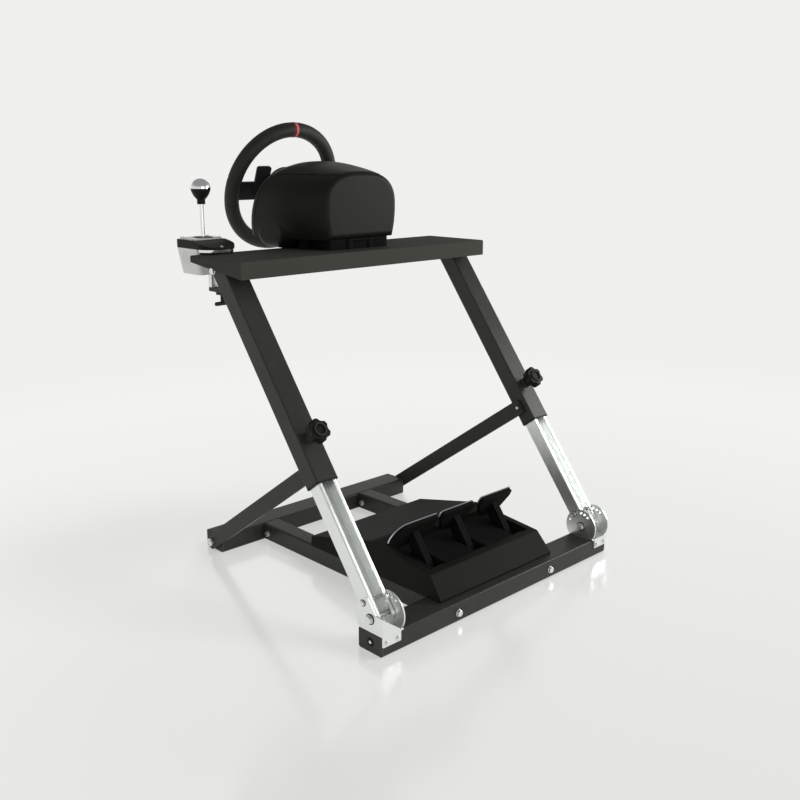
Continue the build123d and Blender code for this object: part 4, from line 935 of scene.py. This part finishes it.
handle_z = screw_low[2] + T_RADIUS
points = threaded_rod((screw_x, screw_y), handle_z, screw_high[2] - PAD_HIGH, SCREW_RADIUS, PITCH)
screw = piece("clamp_thread", points, "clamp_screw", "dark_metal", caps=True)
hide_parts("clamp_screw")
wide = (screw_high[1] - screw_low[1]) / 2
pad = [(0.6 * wide, -PAD_HIGH), (0.94 * wide, -PAD_HIGH), (wide, -0.85 * PAD_HIGH), (wide, -0.15 * PAD_HIGH),
       (0.94 * wide, 0.0)]
turned_piece("clamp_pad", pad, (screw_x, screw_y, screw_high[2]), UP, "clamp_screw", "dark_metal")
bar_start, bar_end = [np.array((x, screw_y, handle_z)) for x in (screw_low[0], screw_high[0])]
points = rounded_bar(bar_start, bar_end, T_RADIUS, rows=13, columns=24)
piece("clamp_handle", points, "clamp_screw", "dark_metal", caps=True)

# %% [markdown]
# The pedal plates carry rubber studs so that a shoe does not slip. A plate's own directions come from its
# corners: they spread most up it and least through it. The studs are a grid with every second row shifted,
# less those too near the edge.

# %% Pedal studs
STUD_GAP, STUD_ROW = 13 * MM, 0.72
STUD_MARGIN = 9 * MM
LOW_SHARE = 0.55
THROTTLE_CORNER, THROTTLE_ROUND = 34 * MM, 26 * MM
STUD = (3.6 * MM, 1.6 * MM, 5)
STUD_SIDES = 18


def plate_axes(node):
    """A plate's middle, its up and outward directions, and half its width and height."""
    points = corners(node)
    side = points[:, 1:] - points[:, 1:].mean(0)
    up = np.array((0.0, *np.linalg.svd(side, full_matrices=False)[2][0]))
    up *= np.sign(up[2])
    outward = np.cross(up, RIGHT)
    outward *= -np.sign(outward[1])
    middle = middle_of(points)
    return middle, up, outward, np.ptp(points[:, 0]) / 2, reach(node, up, middle)


for pedal in PEDALS:
    middle, up, outward, half_width, half_height = plate_axes(pedal + "_plate")
    columns, rows = np.meshgrid(np.arange(-4, 5) * STUD_GAP, np.arange(-2, 3) * STUD_ROW * STUD_GAP)
    columns = columns + (np.arange(5)[:, None] % 2) * STUD_GAP / 2
    share = LOW_SHARE + (1 - LOW_SHARE) * (rows + half_height) / (2 * half_height)
    inside = np.abs(columns) < half_width * share - STUD_MARGIN
    if pedal == "throttle":
        past_x = (columns - half_width + THROTTLE_CORNER).clip(0)
        past_up = (rows - half_height + THROTTLE_CORNER).clip(0)
        inside &= np.hypot(past_x, past_up) < THROTTLE_ROUND
    face = reach(pedal + "_plate", outward, middle)
    spots = middle + face * outward + columns[inside][:, None] * RIGHT + rows[inside][:, None] * up
    points = turned(dome_profile(*STUD), spots, outward, STUD_SIDES)
    piece(pedal + "_studs", points, pedal + "_pedal", "pedal_metal", rubber_and_painted_shade, caps=True)

# %% [markdown]
# The sunken well around the pedal arms lies in deep shade. Ribbed strips of near-black rubber line it as painted
# shade, between the arms' slots. A strip is a thin sheet with low waves across it. The well's slope is read from
# the housing's corners, so that the strips lie on it.

# %% Painted shade in the pedal well
WELL_REAR, WELL_NOSE, WELL_HALF, WELL_ABOVE = -156 * MM, -36 * MM, 143 * MM, 60 * MM
SLOT_HALF, SLOT_REAR = 15 * MM, -122 * MM
MAT_GAP, MAT_SINK = 2 * MM, 0.3 * MM
well = corners("pedal_housing")
well = well[(np.abs(well[:, 0]) < WELL_HALF + MM) & (well[:, 2] > WELL_ABOVE)]
rear_floor, nose_floor = [well[np.abs(well[:, 1] - end) < MM][:, 2].min() for end in (WELL_REAR, WELL_NOSE)]
print("well floor", round(rear_floor / MM, 1), "to", round(nose_floor / MM, 1))


def ribbed_strip(low_x, high_x, low_y, high_y, thick=1.2 * MM, wave=0.8 * MM, pitch=8 * MM):
    """A closed thin strip: its section runs under and over, and its top waves up and down along the well."""
    y = np.linspace(low_y, high_y, int((high_y - low_y) / MM) + 1)
    floor = rear_floor + (nose_floor - rear_floor) * (y - WELL_REAR) / (WELL_NOSE - WELL_REAR)
    top = floor + thick + wave * np.abs(np.sin(np.pi * (y - low_y) / pitch))
    x = np.array([low_x, low_x, high_x, high_x])
    z = np.stack([floor - MAT_SINK, top, top, floor - MAT_SINK], axis=-1)
    return np.stack([x + 0 * z, y[:, None] + 0 * z, z], axis=-1)


slots = np.array([joints[pedal + "_press"]["pos_m"][0] for pedal in PEDALS])
sides_of_slots = np.column_stack([slots - SLOT_HALF, slots + SLOT_HALF])
edges = np.array([-WELL_HALF, *np.sort(sides_of_slots.ravel()), WELL_HALF])
between = edges.reshape(-1, 2) + np.array((MAT_GAP, -MAT_GAP))
# Painted shade: the strips' near-black rubber stands for the deep shade in the well.
for number, ends in enumerate(between):
    strip = ribbed_strip(*ends, WELL_REAR + MAT_GAP, WELL_NOSE - MAT_GAP)
    piece("well_mat_%d" % number, strip, "base_frame", "black_plastic", rubber_and_painted_shade, caps=True)
behind = sides_of_slots + np.array((-MAT_GAP, MAT_GAP))
bridges = [ribbed_strip(*ends, WELL_REAR + MAT_GAP, SLOT_REAR - MAT_GAP) for ends in behind]
piece("well_mat_rear", np.stack(bridges), "base_frame", "black_plastic", rubber_and_painted_shade, caps=True)

# %% [markdown]
# The studio is a pale polished sweep. To the camera the floor is mostly the backdrop's own colour, and all
# of it far away, so there is no horizon. Near the stand a share of it is a real surface that takes shade,
# and a hazy polish over it mirrors the tubes.

# %% Floor
BACKDROP = (0.868, 0.872, 0.858)
FLOOR_HALF = 30
NEAR, FAR = 0.7, 2.4
POLISH = 3.2
POLISH_HAZE = 0.17
BARE_SHARE = 0.35
NEAR_GLOW = 0.22
floor_corners = [(x * FLOOR_HALF, y * FLOOR_HALF, 0) for x, y in ((-1, -1), (1, -1), (1, 1), (-1, 1))]
floor_mesh = bpy.data.meshes.new("floor")
floor_mesh.from_pydata(floor_corners, [], [(0, 1, 2, 3)])
floor = add("floor", floor_mesh)
floor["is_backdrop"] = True


def studio_floor(place):
    """Pale floor with the faintest clouds."""
    clouds = place.noise(0.6)
    return {"Base_Color": clouds.tint((0.93, 0.935, 0.92), (0.95, 0.955, 0.94))}


def ray(tree, kind):
    """1 for light paths of a kind, such as those from the camera, and 0 for all others."""
    return Wire(tree).node("LightPath", out="Is %s Ray" % kind)


sweep = finish("studio_floor", studio_floor, Roughness=1.0, Specular_IOR_Level=0.0)
tree = sweep.node_tree
place = Wire(tree).node("TexCoord", out="Object")
away = place.node("VectorMath", {"operation": "LENGTH"}, {0: place}, out="Value").ramp(NEAR, FAR)
camera_ray = ray(tree, "Camera")
share = (away * BARE_SHARE + (1.0 - BARE_SHARE)) * camera_ray.most(ray(tree, "Glossy"))
lift = (1.0 - away) * camera_ray * NEAR_GLOW
glow = place.node("Emission", None, {"Color": (*BACKDROP, 1.0), "Strength": lift + 1.0})
surface = Wire(tree, tree.nodes["Principled BSDF"].outputs[0])
mixed = place.node("MixShader", None, {0: share, 1: surface, 2: glow})
mirror = place.node("BsdfAnisotropic", None, {"Color": (1.0, 1.0, 1.0, 1.0), "Roughness": POLISH_HAZE})
polish = place.node("Fresnel", None, {"IOR": POLISH}) * camera_ray * (1.0 - away)
polished_floor = place.node("MixShader", None, {0: polish, 1: mixed, 2: mirror})
tree.links.new(polished_floor.socket, tree.nodes["Material Output"].inputs["Surface"])
floor_mesh.materials.append(sweep)

# %% [markdown]
# The world is pale to the camera and to reflections, and softer as a light. In reflections its ceiling is
# darker than its walls, as in a real studio, so that upper faces are not washed out.

# %% World
SKY_LIGHT = 0.50
CEILING = 0.36
CEILING_FROM, CEILING_TO = 0.12, 0.55
world = bpy.data.worlds.new("studio")
bpy.context.scene.world = world
world.use_nodes = True
sky = world.node_tree
mirrored = ray(sky, "Glossy").most(ray(sky, "Transmission"))
seen = ray(sky, "Camera").most(mirrored)
overhead = Wire(sky).node("TexCoord", out="Generated").axis("Z").ramp(CEILING_FROM, CEILING_TO)
level = seen * (1.0 - SKY_LIGHT) + SKY_LIGHT - mirrored * overhead * (1.0 - CEILING)
background = sky.nodes["Background"]
background.inputs["Color"].default_value = (*BACKDROP, 1.0)
sky.links.new(level.socket, background.inputs["Strength"])
print("world nodes", len(sky.nodes))

# %% [markdown]
# Two soft lamps light the stand. A polished floor would show them as white squares, so they light all but
# the floor, and a wide soft sun that lights the floor alone stands in for them.

# %% Lamps
LAMPS_AIM = (0.0, -0.3, 0.4)
SUN_ANGLE = np.radians(25)


def lamp(name, kind, place, strength, floor_link, **settings):
    """A lamp of a kind at a place, turned to the stand. With the floor link INCLUDE it lights the floor
    alone, and with EXCLUDE all but the floor."""
    light = bpy.data.lights.new(name, kind)
    light.energy = strength
    for setting, value in settings.items():
        setattr(light, setting, value)
    holder = add(name, light)
    holder.location = place
    holder.rotation_euler = (Vector(LAMPS_AIM) - Vector(place)).to_track_quat("-Z", "Y").to_euler()
    group = bpy.data.collections.new(name + "_on_floor")
    group.objects.link(floor)
    group.collection_objects[0].light_linking.link_state = floor_link
    holder.light_linking.receiver_collection = group
    print("lamp", name, kind, strength)
    return holder


lamp("key", "AREA", (-2.05, 1.0, 1.05), 34.0, "EXCLUDE", size=1.2)
lamp("fill", "AREA", (0.6, 3.2, 1.4), 12.0, "EXCLUDE", size=2.2)
floor_sun = lamp("floor_sun", "SUN", (-1.4, 0.9, 2.9), 1.6, "INCLUDE", angle=SUN_ANGLE)
floor_sun.visible_glossy = False

# %% [markdown]
# The camera was worked out from the edges of the tubes in the picture: it stands ahead of the nose and to
# the driver's right, at the height of the wheel, and looks down at the frame.

# %% Camera
PICTURE = 800
FOCAL_PIXELS = 959.29
SENSOR = 36.0
CAMERA_PLACE = (1.32685, 1.1107, 0.83405)
CAMERA_YAW = np.radians(223.95)
CAMERA_PITCH = np.radians(-14.457)
camera = bpy.data.cameras.new("camera")
camera.sensor_width = SENSOR
camera.lens = FOCAL_PIXELS / PICTURE * camera.sensor_width
eye = add("camera", camera)
ahead = Vector((np.sin(CAMERA_YAW) * np.cos(CAMERA_PITCH),
                np.cos(CAMERA_YAW) * np.cos(CAMERA_PITCH), np.sin(CAMERA_PITCH)))
eye.location = CAMERA_PLACE
eye.rotation_euler = ahead.to_track_quat("-Z", "Y").to_euler()
bpy.context.scene.camera = eye
bpy.context.scene.view_settings.view_transform = "Standard"
print("lens", round(camera.lens, 2), "mm")

# %% [markdown]
# Last, the dressed part is measured against the solids, because no small piece may make it larger than what
# was checked.

# %% Sizes and finish
boxes = {"cad": [list(map(float, corner)) for corner in cad_box],
         "visual": [list(map(float, corner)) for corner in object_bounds()]}
print("grown by", np.round((np.array(boxes["visual"]) - np.array(boxes["cad"])) / MM, 2).tolist(), "mm")
